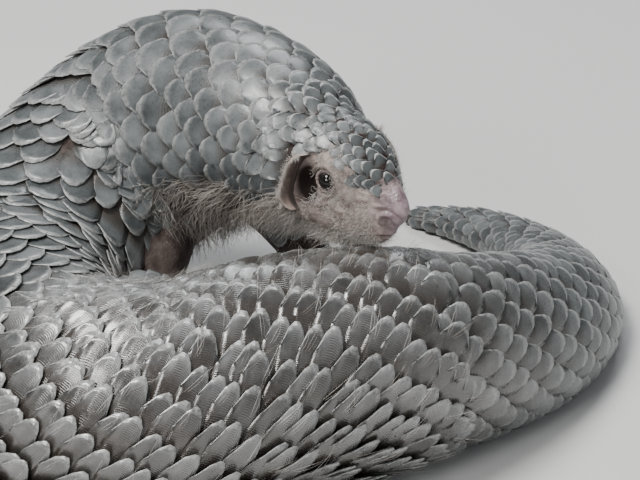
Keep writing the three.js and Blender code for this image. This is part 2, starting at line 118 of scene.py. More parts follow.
def spine_at(place):
    """Centre, directions and sizes of the body at a place on the spine, in metres."""
    x, y, z, wide, back, belly, roll, splay = between(SPINE, place)
    ahead = Vector(between(SPINE, min(place + TANGENT_STEP, SPINE_END))[:3])
    behind = Vector(between(SPINE, max(place - TANGENT_STEP, 0))[:3])
    tailward = (ahead - behind).normalized()
    level = Vector((0, 0, 1)).cross(tailward).normalized()
    above = tailward.cross(level)
    turned = math.radians(roll)
    right = level * math.cos(turned) + above * math.sin(turned)
    up = above * math.cos(turned) - level * math.sin(turned)
    centre = Vector((x, y, z)) * MILLIMETRE - FLOOR_CENTRE
    return centre, right, up, wide * MILLIMETRE, back * MILLIMETRE, belly * MILLIMETRE, splay


def body_skin(place, turn, depth=0.0):
    """A point of the skin: turn 0 is the back, 90 the right flank, 180 the belly; depth goes inwards."""
    centre, right, up, wide, back, belly, _ = spine_at(place)
    angle = math.radians(turn)
    high = back if math.cos(angle) > 0 else belly
    return centre + right * (wide - depth) * math.sin(angle) + up * (high - depth) * math.cos(angle)


def body_rings(depth=0.0):
    """Rings of points of the body's skin, from the neck to the tip of the tail."""
    return [[body_skin(SPINE_END * k / BODY_RINGS, 360 * i / BODY_SIDES, depth) for i in range(BODY_SIDES)]
            for k in range(BODY_RINGS + 1)]


def loft(form, loops):
    """Adds the faces that join each ring of vertices of a bmesh to the next one."""
    for first, second in zip(loops, loops[1:]):
        for i, vert in enumerate(first):
            j = (i + 1) % len(first)
            form.faces.new((vert, first[j], second[j], second[i]))


def tube(form, rings):
    """Adds a closed tube through rings of points to a bmesh, each end closed by a fan."""
    loops = [[form.verts.new(point) for point in ring] for ring in rings]
    loft(form, loops)
    sides = len(loops[0])
    for loop, turned in ((loops[0], True), (loops[-1], False)):
        middle = form.verts.new(sum((vert.co for vert in loop), Vector()) / sides)
        for i in range(sides):
            pair = (loop[i], loop[(i + 1) % sides])
            form.faces.new((middle, *(reversed(pair) if turned else pair)))


flesh = bmesh.new()
tube(flesh, body_rings(HIDE_DEPTH))

# Limbs: short strong legs folded under the body, of the same hide, with broad soft paws. The joints are
# in millimetres with the leg's half thickness, from the body to the ankle, then the toes and claw lengths.
LIMBS = {
    "front_right": ([(-97, 30, 92, 30), (-100, -8, 60, 19), (-76, -20, 24, 13)],
                    (-52, -24, 11), (12, 26, 34, 24, 12)),
    "front_left": ([(-42, 76, 98, 30), (-26, 100, 56, 19), (-4, 92, 24, 13)],
                   (18, 82, 11), (12, 26, 34, 24, 12)),
    "hind_right": ([(-80, -118, 84, 34), (-98, -80, 84, 24), (-72, -66, 60, 15)],
                   (-52, -54, 46), (9, 14, 16, 14, 9)),
    "hind_left": ([(-78, -112, 34, 30), (-98, -76, 28, 22), (-72, -64, 18, 14)],
                  (-48, -54, 10), (9, 14, 16, 14, 9)),
}
LIMB_HIDE_DEPTH = 1.2
PALM_HALF_WIDTH = 9
TOE_RADIUS = 10
TOE_HIDE_DEPTH = 0.6
TOE_SPREADS = (-1, -0.33, 0.33, 1)
SURFACE_GRAIN = 0.003
FLESH_SOFTENING = 6


def place_of(x, y, z):
    """A point of the lists, in metres in the part's own frame."""
    return Vector((x, y, z)) * MILLIMETRE - FLOOR_CENTRE


def capsule(start, start_radius, end, end_radius, sides=20, caps=5):
    """Rings of points of a round length with ball ends between two points."""
    axis = (end - start).normalized()
    side = axis.orthogonal().normalized()
    other = axis.cross(side)
    quarter = math.pi / 2
    stations = [(start, -math.cos(quarter * k / caps), math.sin(quarter * k / caps), start_radius)
                for k in range(1, caps + 1)]
    stations += [(end, math.sin(quarter * k / caps), math.cos(quarter * k / caps), end_radius)
                 for k in range(caps)]
    return [[centre + axis * along * radius + (side * math.cos(turn) + other * math.sin(turn)) * out * radius
             for turn in (2 * math.pi * i / sides for i in range(sides))]
            for centre, along, out, radius in stations]


def paw_ways(joints, toes):
    """The ankle and the toes of a paw, with the level directions ahead of it and across it."""
    ankle = place_of(*joints[-1][:3])
    toe = place_of(*toes)
    ahead = ((toe - ankle) * Vector((1, 1, 0))).normalized()
    return ankle, toe, ahead, ahead.cross(Vector((0, 0, 1)))


for joints, toes, _claws in LIMBS.values():
    for (*start, start_radius), (*end, end_radius) in zip(joints, joints[1:]):
        tube(flesh, capsule(place_of(*start), (start_radius - LIMB_HIDE_DEPTH) * MILLIMETRE,
                            place_of(*end), (end_radius - LIMB_HIDE_DEPTH) * MILLIMETRE))
    ankle, toe, _, across = paw_ways(joints, toes)
    for side in TOE_SPREADS:
        tube(flesh, capsule(ankle, (joints[-1][3] - LIMB_HIDE_DEPTH) * MILLIMETRE,
                            toe + across * side * PALM_HALF_WIDTH * MILLIMETRE,
                            (TOE_RADIUS - TOE_HIDE_DEPTH) * MILLIMETRE))


def mesh_of(form, name):
    """The mesh of a finished bmesh."""
    mesh = bpy.data.meshes.new(name)
    form.to_mesh(mesh)
    form.free()
    return mesh


def object_of(name, mesh):
    """A linked object for a mesh."""
    piece = bpy.data.objects.new(name, mesh)
    bpy.context.collection.objects.link(piece)
    return piece


def finished_mesh(piece, name):
    """The plain mesh of a helper piece with its modifiers applied. The helper itself goes."""
    graph = bpy.context.evaluated_depsgraph_get()
    mesh = bpy.data.meshes.new_from_object(piece.evaluated_get(graph))
    mesh.name = name
    bpy.data.objects.remove(piece)
    return mesh


def joined_mesh(piece, name, softening):
    """One closed surface over all the shapes of a helper piece, softened by rounds of smoothing."""
    remesh = piece.modifiers.new("one_skin", "REMESH")
    remesh.mode = "VOXEL"
    remesh.voxel_size = SURFACE_GRAIN
    remesh.use_smooth_shade = True
    relax = piece.modifiers.new("relax", "SMOOTH")
    relax.iterations = softening
    return finished_mesh(piece, name)


body_mesh = joined_mesh(object_of("flesh", mesh_of(flesh, "flesh")), "body", FLESH_SOFTENING)

# Head: a narrow cone of a skull, scaled on the crown and brow, with a bare pink face of soft wrinkled skin
# and thin pale hair. Points are in millimetres forward, right and up from the nose tip, and each section is
# its distance forward, half width, top and bottom.
NOSE_TIP = place_of(47, -97, 163)
HEAD_YAW = math.radians(52)
HEAD_PITCH = math.radians(1.5)
FORWARD = Vector((math.cos(HEAD_YAW) * math.cos(HEAD_PITCH), -math.sin(HEAD_YAW) * math.cos(HEAD_PITCH),
                  math.sin(HEAD_PITCH)))
RIGHT = Vector((-math.sin(HEAD_YAW), -math.cos(HEAD_YAW), 0))
HEAD_UP = RIGHT.cross(FORWARD)
HEAD_SECTIONS = [
    (0, 2, -1.5, -7.5),
    (-3, 3.8, 1.6, -11.5),
    (-8, 5.8, 5.5, -17.5),
    (-14, 8.8, 10.8, -24.5),
    (-22, 13.2, 18, -32),
    (-34, 19.5, 26, -34),
    (-46, 22.5, 30, -35),
    (-60, 27, 32, -36),
    (-75, 30, 33, -37),
    (-90, 27, 27, -31),
]
HEAD_END = len(HEAD_SECTIONS) - 1
HEAD_PLACES = [(section[0], number) for number, section in reversed(list(enumerate(HEAD_SECTIONS)))]
HEAD_RINGS = 190
HEAD_SIDES = 180
HEAD_RING_CROWDING = 1.15
EYE_PLACE = (-44.5, 19, 4)
EYE_RADIUS = 5.4
SOCKET_RADIUS = 7.0
SOCKET_DEPTH = 4.8
LID_FOLD_RADIUS = 8.6
NOSTRIL_PLACE = (-9.6, 6.2, -12.4)
NOSTRIL_RADIUS = 2.7
NOSTRIL_DEPTH = 4.8
NOSTRIL_RIM = 4.7
NOSTRIL_GROOVE = 7.6
EAR_HOLE = (-57, 26.5, -1)
EAR_HOLE_DEPTH = 6.5
TRAGUS = (-54.5, 24.5, -12)
TRAGUS_HEIGHT = 2.6
BROW_HEIGHT = 2.6
BROW_TURN = 48
BROW_PLACE = -36
KEEL = 0.3
MOUTH_HEIGHT = -22
MOUTH_REACH = 34
MOUTH_SLOPE = 0.13
MOUTH_CORNER = -30
LIP_HEIGHT = 2.2
CHEEK_SWELL = 2.2
WRINKLE_DEPTH = 0.7


def head_point(forward, right, up):
    """A point of the head's own frame, in metres in the part's frame."""
    return NOSE_TIP + (FORWARD * forward + RIGHT * right + HEAD_UP * up) * MILLIMETRE


def bell(distance, width):
    """A smooth bump that is 1 at no distance and fades over its width."""
    return math.exp(-(distance / width) ** 2)


def clamped(share):
    """A share held between 0 and 1."""
    return min(max(share, 0), 1)


def nose_form(point):
    """The nose pad: a smooth swelling over two side nostrils, each under an arched rim."""
    forward, right, up = point
    from_nostril = point - Vector(NOSTRIL_PLACE)
    reach = math.hypot(from_nostril.length, 0.3 * from_nostril.z)
    arch = 0.25 + 0.75 * clamped((from_nostril.z + 3.5) / 4)
    pad = 0.9 * bell(forward + 6, 6) * bell(up - 1, 6)
    philtrum = -0.8 * bell(right, 1.1) * bell(forward, 6) * bell(up + 12, 8)
    rim = 1.8 * arch * bell(reach - NOSTRIL_RIM, 1.4) - 0.9 * arch * bell(reach - NOSTRIL_GROOVE, 1.3)
    return rim + pad + philtrum - NOSTRIL_DEPTH * bell(reach, NOSTRIL_RADIUS)


def eye_form(point):
    """The socket of the eye with the soft fold round it and the bag under it."""
    if point.y < 8:
        return 0
    aside = point - Vector(EYE_PLACE)
    reach = math.hypot(aside.x, aside.z)
    socket = -SOCKET_DEPTH * clamped((SOCKET_RADIUS - reach) / 1.2)
    over = 0.5 + 0.5 * min(max(aside.z / 4, -1), 1)
    fold = (0.5 + 0.7 * over) * bell(reach - LID_FOLD_RADIUS, 1.3) - 0.5 * bell(reach - 11.2, 1.1)
    bag = 0.5 * bell(reach - 10.0, 1.2) * (1 - over)
    return socket + fold + bag


def ear_form(point):
    """The ear hole and the small fleshy fold in front of it."""
    from_hole = point - Vector(EAR_HOLE)
    from_fold = point - Vector(TRAGUS)
    hole = -EAR_HOLE_DEPTH * bell(math.hypot(from_hole.x / 6, from_hole.z / 10.5), 1)
    fold = TRAGUS_HEIGHT * bell(math.hypot(from_fold.x / 3, from_fold.z / 5.5), 1)
    return hole + fold


def above_mouth(point):
    """How far a point lies over the line of the closed mouth, which drops at its corner."""
    line = MOUTH_HEIGHT + MOUTH_SLOPE * point.x - 1.2 * bell(point.x - MOUTH_CORNER, 6)
    return point.z - line


def mouth_form(point):
    """The closed mouth: a groove between two thin lips that fades out behind its corner."""
    above = above_mouth(point)
    lips = 0.9 * bell(above - LIP_HEIGHT, 1.5) + 0.6 * bell(above + LIP_HEIGHT, 1.4) - 1.7 * bell(above, 0.8)
    return lips * clamped((point.x + MOUTH_REACH + 2) / 8)


def wrinkle_form(point):
    """Soft wrinkles with finer creases in them, deepest on the face, with the nose pad kept smooth."""
    forward, right, up = point
    wrinkles = noise.noise(Vector((forward * 0.14, right * 0.22, up * 0.42)))
    creases = abs(noise.noise(Vector((forward * 0.3, right * 0.4 + 7, up * 0.75))))
    face = 0.25 + 0.75 * clamped((forward + 62) / 14)
    return WRINKLE_DEPTH * (wrinkles - creases) * face * (1 - bell(forward + 1, 9))


def head_local(place, turn, detailed=True):
    """A point of the head's skin, forward, right and up in millimetres, with the face's forms in it."""
    forward, wide, top, bottom = between(HEAD_SECTIONS, place)
    angle = math.radians(turn)
    from_crown = abs((turn + 180) % 360 - 180)
    brow = BROW_HEIGHT * bell(from_crown - BROW_TURN, 24) * bell(forward - BROW_PLACE, 20)
    keel = KEEL * max(-math.cos(angle), 0) * clamped((forward + MOUTH_REACH) / 20)
    right = (wide + brow) * math.sin(angle) * (1 - keel)
    up = (top + bottom) / 2 + ((top - bottom) / 2 + brow) * math.cos(angle)
    point = Vector((forward, right, up))
    if not detailed:
        return point
    mirrored = Vector((forward, abs(right), up))
    cheek = CHEEK_SWELL * bell(forward + 52, 13) * bell(up + 20, 9)
    push = nose_form(mirrored) + eye_form(mirrored) + ear_form(mirrored) + mouth_form(mirrored) + cheek
    out = Vector((0.25, math.sin(angle), math.cos(angle))).normalized()
    return point + out * (push + wrinkle_form(point))


def head_skin(place, turn, depth=0.0):
    """A point of the plain head's surface, with a depth inwards in metres."""
    point = head_local(place, turn, detailed=False)
    angle = math.radians(turn)
    return head_point(*point) - (RIGHT * math.sin(angle) + HEAD_UP * math.cos(angle)) * depth


head_form = bmesh.new()
ring_places = [HEAD_END * (k / HEAD_RINGS) ** HEAD_RING_CROWDING for k in range(HEAD_RINGS + 1)]
tube(head_form, [[head_point(*head_local(place, 360 * i / HEAD_SIDES)) for i in range(HEAD_SIDES)]
                 for place in ring_places])
head_mesh = mesh_of(head_form, "head")

# Skin: one closed hide over the head, body and legs. It is mottled and wrinkled, pink and bare on the face,
# lilac and moist on the nose, and darkened by painted shade where the scales shade it, in the nostrils, ears
# and mouth, and round the eye sockets.
# The edge of the scaled cap of the head is given by distances forward and the turn from the crown there.
CAP_EDGE = [(-86, 106), (-76, 100), (-69, 90), (-66, 62), (-60, 50), (-54, 45), (-46, 40), (-38, 36),
            (-32, 46), (-26, 53), (-16, 50), (-9, 42)]
CAP_FRONT = CAP_EDGE[-1][0]
# Painted shade: how far all of the hide of the body and legs, under the plates, and the skin under the edge
# of the head's scaled cap are mixed towards near black.
BODY_PAINTED_SHADE = 0.8
CAP_PAINTED_SHADE = 0.93
SKIN_FLAT = 0.0003
HEAD_REACH = 0.11
SKIN_GLOW_RADIUS = (0.004, 0.0018, 0.0012)


def node_chain(tree, kind, inputs=None, **settings):
    """A new shader or geometry node with its settings and its linked or plain inputs."""
    node = tree.nodes.new(kind)
    for key, value in settings.items():
        setattr(node, key, value)
    for key, value in (inputs or {}).items():
        if isinstance(value, bpy.types.NodeSocket):
            tree.links.new(value, node.inputs[key])
        else:
            node.inputs[key].default_value = value
    return node


def new_material(name, color, roughness, **constants):
    """A material whose surface shader has these constant values, with its node tree."""
    material = bpy.data.materials.new(name)
    material.use_nodes = True
    values = {"Base Color": (*color, 1), "Roughness": roughness}
    values.update({key.replace("_", " "): value for key, value in constants.items()})
    for socket, value in values.items():
        material.node_tree.nodes["Principled BSDF"].inputs[socket].default_value = value
    return material, material.node_tree


def link_surface(tree, patterns):
    """Links patterns to sockets of a material's surface shader."""
    for socket, value in patterns.items():
        tree.links.new(value, tree.nodes["Principled BSDF"].inputs[socket])


def carried(tree, name, output="Fac"):
    """A number or vector that the mesh carries."""
    return node_chain(tree, "ShaderNodeAttribute", attribute_name=name).outputs[output]


def object_place(tree):
    """The place in the piece, on its own coordinates."""
    return node_chain(tree, "ShaderNodeTexCoord").outputs["Object"]


def cloudy(tree, scale, detail, roughness=0.5):
    """A cloudy pattern through the piece."""
    inputs = {"Vector": object_place(tree), "Scale": scale, "Detail": detail, "Roughness": roughness}
    return node_chain(tree, "ShaderNodeTexNoise", inputs).outputs["Fac"]


def bumped(tree, height, strength, distance, **under):
    """The normal of a surface with a relief of a height on it."""
    return node_chain(tree, "ShaderNodeBump", {"Height": height, "Strength": strength, "Distance": distance,
                                               **under}).outputs["Normal"]


def ranged(tree, value, low, high, start=0.0, end=1.0, kind="SMOOTHSTEP"):
    """A value spread from one range to another."""
    return node_chain(tree, "ShaderNodeMapRange", {"Value": value, "From Min": low, "From Max": high,
                                                   "To Min": start, "To Max": end},
                      interpolation_type=kind).outputs["Result"]


def ramp(tree, factor, stops):
    """A colour ramp through stops of a position and a colour."""
    node = node_chain(tree, "ShaderNodeValToRGB", {"Fac": factor})
    points = node.color_ramp.elements
    while len(points) < len(stops):
        points.new(0.5)
    for point, (position, color) in zip(points, stops):
        point.position = position
        point.color = (*color, 1)
    return node.outputs["Color"]


def mixed_color(tree, factor, first, second):
    """One colour over another by a factor, each of them a link or a plain colour."""
    first, second = ((*value, 1) if isinstance(value, tuple) else value for value in (first, second))
    return node_chain(tree, "ShaderNodeMix", {0: factor, 6: first, 7: second}, data_type="RGBA").outputs[2]


def along_list(pairs, value):
    """A straight line between the pairs of a list that rises in its first number."""
    for (low, first), (high, second) in zip(pairs, pairs[1:]):
        if value <= high:
            return first + (second - first) * max(value - low, 0) / (high - low)
    return pairs[-1][1]


def head_section(forward):
    """The place of a section of the head at a distance forward, with its half width, top and bottom."""
    place = along_list(HEAD_PLACES, forward)
    return place, *between(HEAD_SECTIONS, place)[1:]


def skin_tones(point):
    """How pink the skin is at a point of the head's own frame, and how much painted shade it gets."""
    mirrored = Vector((point.x, abs(point.y), point.z))
    pinkness = bell(max(-point.x - 5, 0), 9) * clamped((point.z + 34) / 6)
    # Each of these shadows is painted shade: in the nostril, the ear hole, the line of the mouth, under the
    # edge of the scaled cap and in the crease round the eye socket.
    shadows = [0.95 * bell((mirrored - Vector(NOSTRIL_PLACE)).length, NOSTRIL_RADIUS)]
    if point.x > -72:
        hole = mirrored - Vector(EAR_HOLE)
        shadows.append(min(2.2 * bell(math.hypot(hole.x / 7, hole.z / 11), 1), 1))
    if point.x > -MOUTH_REACH:
        shadows.append(0.8 * bell(above_mouth(point), 0.7))
    if point.x < CAP_FRONT:
        _, wide, top, bottom = head_section(point.x)
        height = (point.z - (top + bottom) / 2) / ((top - bottom) / 2)
        turn = math.degrees(math.atan2(mirrored.y / wide, height))
        under_cap = clamped((along_list(CAP_EDGE, point.x) - turn) / 5)
        shadows.append(CAP_PAINTED_SHADE * min((CAP_FRONT - point.x) / 9, 1) * under_cap)
    if mirrored.y > 8:
        socket = mirrored - Vector(EYE_PLACE)
        shadows.append(0.62 * bell(math.hypot(socket.x, socket.z) - 7.8, 2.4))
    return pinkness, max(shadows)


hide, hide_tree = new_material("hide", (0.34, 0.27, 0.25), 0.62, Subsurface_Weight=0.12,
                               Subsurface_Radius=SKIN_GLOW_RADIUS)
pink = carried(hide_tree, "pink")
dark = carried(hide_tree, "dark")
mottle = cloudy(hide_tree, 130, 6)
folds = node_chain(hide_tree, "ShaderNodeTexVoronoi", {"Vector": object_place(hide_tree), "Scale": 520})
bare = ramp(hide_tree, mottle, [(0.34, (0.14, 0.105, 0.093)), (0.5, (0.33, 0.26, 0.235)),
                                (0.66, (0.5, 0.415, 0.385))])
lilac = ramp(hide_tree, mottle, [(0.34, (0.15, 0.105, 0.12)), (0.64, (0.37, 0.28, 0.31))])
toned = mixed_color(hide_tree, pink, bare, lilac)
pores = bumped(hide_tree, cloudy(hide_tree, 1100, 3), 0.3, 0.0005)
# The dark attribute is painted shade: it mixes the hide towards near black and takes away its shine.
link_surface(hide_tree, {
    "Base Color": mixed_color(hide_tree, dark, toned, (0.018, 0.013, 0.012)),
    "Normal": bumped(hide_tree, folds.outputs["Distance"], 0.35, 0.0007, Normal=pores),
    "Roughness": ranged(hide_tree, pink, 0, 1, 0.62, 0.3, "LINEAR"),
    "Specular IOR Level": ranged(hide_tree, dark, 0, 1, 0.5, 0.03, "LINEAR"),
})

whole = bmesh.new()
whole.from_mesh(body_mesh)
whole.from_mesh(head_mesh)
body_count = len(body_mesh.vertices)
pink_layer = whole.verts.layers.float.new("pink")
painted_shade_layer = whole.verts.layers.float.new("dark")
whole.verts.index_update()
for vert in whole.verts:
    away = vert.co - NOSE_TIP
    if away.length < HEAD_REACH:
        local = Vector((away.dot(FORWARD), away.dot(RIGHT), away.dot(HEAD_UP))) / MILLIMETRE
        vert[pink_layer], vert[painted_shade_layer] = skin_tones(local)
    # Painted shade over all of the body's and legs' hide, for the shade that the plates cast on it.
    if vert.index < body_count:
        vert[painted_shade_layer] = BODY_PAINTED_SHADE
    vert.co.z = max(vert.co.z, SKIN_FLAT)
skin_mesh = mesh_of(whole, "skin")
skin_mesh.shade_smooth()
skin_mesh.materials.append(hide)
skin = object_of("skin", skin_mesh)
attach(skin, "root")
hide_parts("head", "neck", "shoulders", "chest", "belly", "loins", "hips", "rump",
            *(f"tail_{k}" for k in range(1, 6)),
            *(f"{piece}_{limb}" for piece in ("upper", "lower", "foot") for limb in LIMBS))

# Scales: stiff plates of dark horn that grow backwards out of the hide in staggered rows, each over the
# roots of the next. The outer face is slightly domed, ribbed across near the root, and worn pale at the tip.

# Each row of the list is a region: its name, first and last place on the spine, spacing of the rows and of
# the columns in millimetres, the furthest turn from the back, the rise of a tip, and the width of a plate
# as a share of its column.
SCUTE_REGIONS = [
    ("neck", 0.75, 3.2, 16, 21, 112, 4.2, 1.42),
    ("back", 3.2, 7.7, 18, 22, 122, 4.6, 1.42),
    ("tail", 11.2, 17.6, 13, 15, 180, 3.0, 1.34),
]
ALL_ROUND = 180
PLATE_COLUMNS = 5
PLATE_ROWS = 7
PLATE_THICK = 0.5
EDGE_THINNING = 0.36
FLOOR_GAP = 0.0002
BAKE_PATCH = 0.003
PLATE_LENGTH = 2.35
PLATE_FOLLOW = 0.9
SPINE_STEP = 0.02
LEAN_VARIETY = 3
FORM_RINGS = 60
FORM_SIDES = 64
BEHIND_EAR = (-70, 33, 0)
EAR_CLEARANCE = 0.011
CROWDED = 0.42


def plate_mesh(name, dome, point):
    """A plate laid out flat, with its height over the hide in an attribute that the tree reads."""
    form = bmesh.new()
    spot = form.verts.layers.float_vector.new("spot")
    lower = []
    upper = []
    for layer in (lower, upper):
        for i in range(PLATE_ROWS + 1):
            u = i / PLATE_ROWS
            half = 0.5 * (0.62 + 0.38 * math.sin(math.pi / 2 * min(2 * u, 1)) - 0.1 * max(2 * u - 1, 0))
            row = []
            for j in range(PLATE_COLUMNS + 1):
                v = 2 * j / PLATE_COLUMNS - 1
                vert = form.verts.new((u - point * u ** 3 * abs(v) ** 2.2, half * v, 0))
                thick = PLATE_THICK - EDGE_THINNING * max(abs(v) ** 6, u ** 9)
                lift = -0.55 + 1.75 * u - 0.15 * u ** 3 - 0.15 * u ** 8 - dome * v * v * (1 - 0.3 * u)
                vert[spot] = (u, v, lift if layer is upper else lift - thick)
                row.append(vert)
            layer.append(row)
    for i in range(PLATE_ROWS):
        for j in range(PLATE_COLUMNS):
            form.faces.new((upper[i][j], upper[i + 1][j], upper[i + 1][j + 1], upper[i][j + 1]))
            form.faces.new((lower[i][j], lower[i][j + 1], lower[i + 1][j + 1], lower[i + 1][j]))
    rim = [(0, j) for j in range(PLATE_COLUMNS)]
    rim += [(i, PLATE_COLUMNS) for i in range(PLATE_ROWS)]
    rim += [(PLATE_ROWS, j) for j in range(PLATE_COLUMNS, 0, -1)]
    rim += [(i, 0) for i in range(PLATE_ROWS, 0, -1)]
    for (i, j), (k, m) in zip(rim, rim[1:] + rim[:1]):
        form.faces.new((lower[i][j], upper[i][j], upper[k][m], lower[k][m]))
    return object_of(name, mesh_of(form, "plate"))


def math_node(tree, operation, *values, clamp=False):
    """The result of one sum on links or plain numbers."""
    return node_chain(tree, "ShaderNodeMath", dict(enumerate(values)), operation=operation,
                      use_clamp=clamp).outputs["Value"]


def vector_node(tree, operation, first, second):
    """The result of one sum on vectors, or on a vector and the scale of it."""
    second_socket = "Scale" if operation == "SCALE" else 1
    return node_chain(tree, "ShaderNodeVectorMath", {0: first, second_socket: second},
                      operation=operation).outputs["Vector"]


def scute_tree():
    """The tree that sets a plate at each root, bends it to the form below and lifts it by its own height."""
    tree = bpy.data.node_groups.new("scute_rows", "GeometryNodeTree")
    for name, kind in (("Roots", "Geometry"), ("Plate", "Object"), ("Form", "Object"), ("Follow", "Float"),
                       ("Patch", "Float"), ("Finish", "Material")):
        tree.interface.new_socket(name, in_out="INPUT", socket_type=f"NodeSocket{kind}")
    tree.interface.new_socket("Scutes", in_out="OUTPUT", socket_type="NodeSocketGeometry")
    source = tree.nodes.new("NodeGroupInput").outputs

    def named(name, kind="FLOAT_VECTOR"):
        return node_chain(tree, "GeometryNodeInputNamedAttribute", {"Name": name}, data_type=kind).outputs[0]

    turned = node_chain(tree, "FunctionNodeAxesToRotation",
                        {"Primary Axis": named("out"), "Secondary Axis": named("along")},
                        primary_axis="Z", secondary_axis="X")
    plate = node_chain(tree, "GeometryNodeObjectInfo", {"Object": source["Plate"]})
    plates = node_chain(tree, "GeometryNodeInstanceOnPoints",
                        {"Points": source["Roots"], "Instance": plate.outputs["Geometry"],
                         "Rotation": turned.outputs["Rotation"], "Scale": named("size")})
    real = node_chain(tree, "GeometryNodeRealizeInstances", {"Geometry": plates.outputs["Instances"]})
    below = node_chain(tree, "GeometryNodeObjectInfo", {"Object": source["Form"]}).outputs["Geometry"]
    flat = tree.nodes.new("GeometryNodeInputPosition").outputs["Position"]

    def nearest(value):
        return node_chain(tree, "GeometryNodeSampleNearestSurface",
                          {"Mesh": below, "Value": value, "Sample Position": flat},
                          data_type="FLOAT_VECTOR").outputs["Value"]

    foot = nearest(flat)
    lean = nearest(tree.nodes.new("GeometryNodeInputNormal").outputs["Normal"])
    spot = node_chain(tree, "ShaderNodeSeparateXYZ", {"Vector": named("spot")}).outputs
    rise = node_chain(tree, "ShaderNodeSeparateXYZ", {"Vector": named("size")}).outputs["Z"]
    over_neighbour = math_node(tree, "MULTIPLY", spot["X"], spot["Y"])
    tilted = math_node(tree, "MULTIPLY_ADD", over_neighbour, named("tilt", "FLOAT"), spot["Z"])
    lifted = vector_node(tree, "SCALE", lean, math_node(tree, "MULTIPLY", tilted, rise))
    bent = node_chain(tree, "ShaderNodeMix", {"Factor": source["Follow"], 4: flat, 5: foot},
                      data_type="VECTOR")
    above_floor = vector_node(tree, "MAXIMUM", vector_node(tree, "ADD", bent.outputs[1], lifted),
                              (-10, -10, FLOOR_GAP))
    placed = node_chain(tree, "GeometryNodeSetPosition", {"Geometry": real.outputs["Geometry"],
                                                          "Position": above_floor})
    patch = vector_node(tree, "SCALE", named("spot"), source["Patch"])
    bake = node_chain(tree, "GeometryNodeStoreNamedAttribute",
                      {"Geometry": placed.outputs["Geometry"], "Name": "OFBake",
                       "Value": vector_node(tree, "ADD", named("root_uv"), patch)},
                      data_type="FLOAT2", domain="CORNER")
    smooth = node_chain(tree, "GeometryNodeSetShadeSmooth", {"Geometry": bake.outputs["Geometry"]})
    finished = node_chain(tree, "GeometryNodeSetMaterial", {"Geometry": smooth.outputs["Geometry"],
                                                            "Material": source["Finish"]})
    node_chain(tree, "NodeGroupOutput", {"Scutes": finished.outputs["Geometry"]})
    return tree


SCUTE_TREE = scute_tree()


def grown(name, roots, numbers, **inputs):
    """The plain mesh that the tree grows from roots, which also carry lists of numbers."""
    points, alongs, outs, sizes, uvs = zip(*roots)
    seeds_mesh = bpy.data.meshes.new(name)
    seeds_mesh.from_pydata(points, [], [])
    for key, vectors in (("along", alongs), ("out", outs), ("size", sizes), ("root_uv", uvs)):
        attribute = seeds_mesh.attributes.new(key, "FLOAT_VECTOR", "POINT")
        attribute.data.foreach_set("vector", [number for vector in vectors for number in vector])
    for key, values in numbers.items():
        attribute = seeds_mesh.attributes.new(key, "FLOAT", "POINT")
        attribute.data.foreach_set("value", values)
    seeds = object_of(name, seeds_mesh)
    growth = seeds.modifiers.new("growth", "NODES")
    growth.node_group = SCUTE_TREE
    inputs["Patch"] = BAKE_PATCH
    for item in SCUTE_TREE.interface.items_tree:
        if item.in_out == "INPUT" and item.name in inputs:
            growth[item.identifier] = inputs[item.name]
    return finished_mesh(seeds, name)


def form_object(name, *tubes):
    """A smooth closed form of one or more tubes, for the plates to bend to."""
    form = bmesh.new()
    for rings in tubes:
        tube(form, rings)
    bmesh.ops.recalc_face_normals(form, faces=form.faces)
    mesh = mesh_of(form, name)
    mesh.shade_smooth()
    return object_of(name, mesh)


body_form = form_object("body_form", body_rings())
head_rings = [[head_skin(HEAD_END * k / FORM_RINGS, 360 * i / FORM_SIDES) for i in range(FORM_SIDES)]
              for k in range(FORM_RINGS + 1)]
joined_form = form_object("joined_form", body_rings(), head_rings)
front_form = object_of("front_form", joined_mesh(joined_form, "front_form", softening=8))
domed_plate = plate_mesh("domed_plate", dome=0.5, point=0.33)
pointed_plate = plate_mesh("pointed_plate", dome=0.45, point=0.5)
flat_plate = plate_mesh("flat_plate", dome=0.3, point=0.36)


def skin_directions(surface, place, turn):
    """A point of a surface at a place and turn, with the tailward direction and the normal there."""
    here = surface(place, turn)
    tailward = surface(place + 0.05, turn) - here
    around = surface(place, turn + 2) - here
    return here, tailward.normalized(), tailward.cross(around).normalized()


def root_of(here, along, out, length, width, rise, uv):
    """A root for the tree, whose plate or tuft has this length, width and rise in millimetres."""
    return here, along, out, (length * MILLIMETRE, width * MILLIMETRE, rise * MILLIMETRE), uv


def map_place(share, turn):
    """A place on the texture map for each root, by its share of the way to the end and its turn."""
    return 0.05 + 0.9 * share, 0.5 + turn / 400, 0


def leaned(tailward, out, degrees):
    """The tailward direction, turned about the normal."""
    return Matrix.Rotation(math.radians(degrees), 3, out) @ tailward


def plate_growth(place):
    """The size of a plate as a share of the full one, which it has behind the neck."""
    return 0.6 + 0.4 * clamped((place - 0.7) / 1.5)


def outer_step(place, step, turns):
    """The longest way that the skin goes, at some turns, in one step along the spine."""
    return max((body_skin(place + step, turn) - body_skin(place, turn)).length for turn in turns)


def spine_places(first, last, spacing):
    """Places along the spine that are evenly spaced on its outer side, where the body is longest."""
    places = []
    travelled = 0.0
    place = first
    while place < last:
        if travelled >= 0:
            places.append(place)
            travelled -= spacing * plate_growth(place) * MILLIMETRE
        travelled += outer_step(place, SPINE_STEP, (-80, -45, 0, 45))
        place += SPINE_STEP
    return places


def girth_at(wide, back):
    """The way round the body, from its half width and half depth."""
    return 2 * math.pi * math.sqrt((wide ** 2 + back ** 2) / 2)


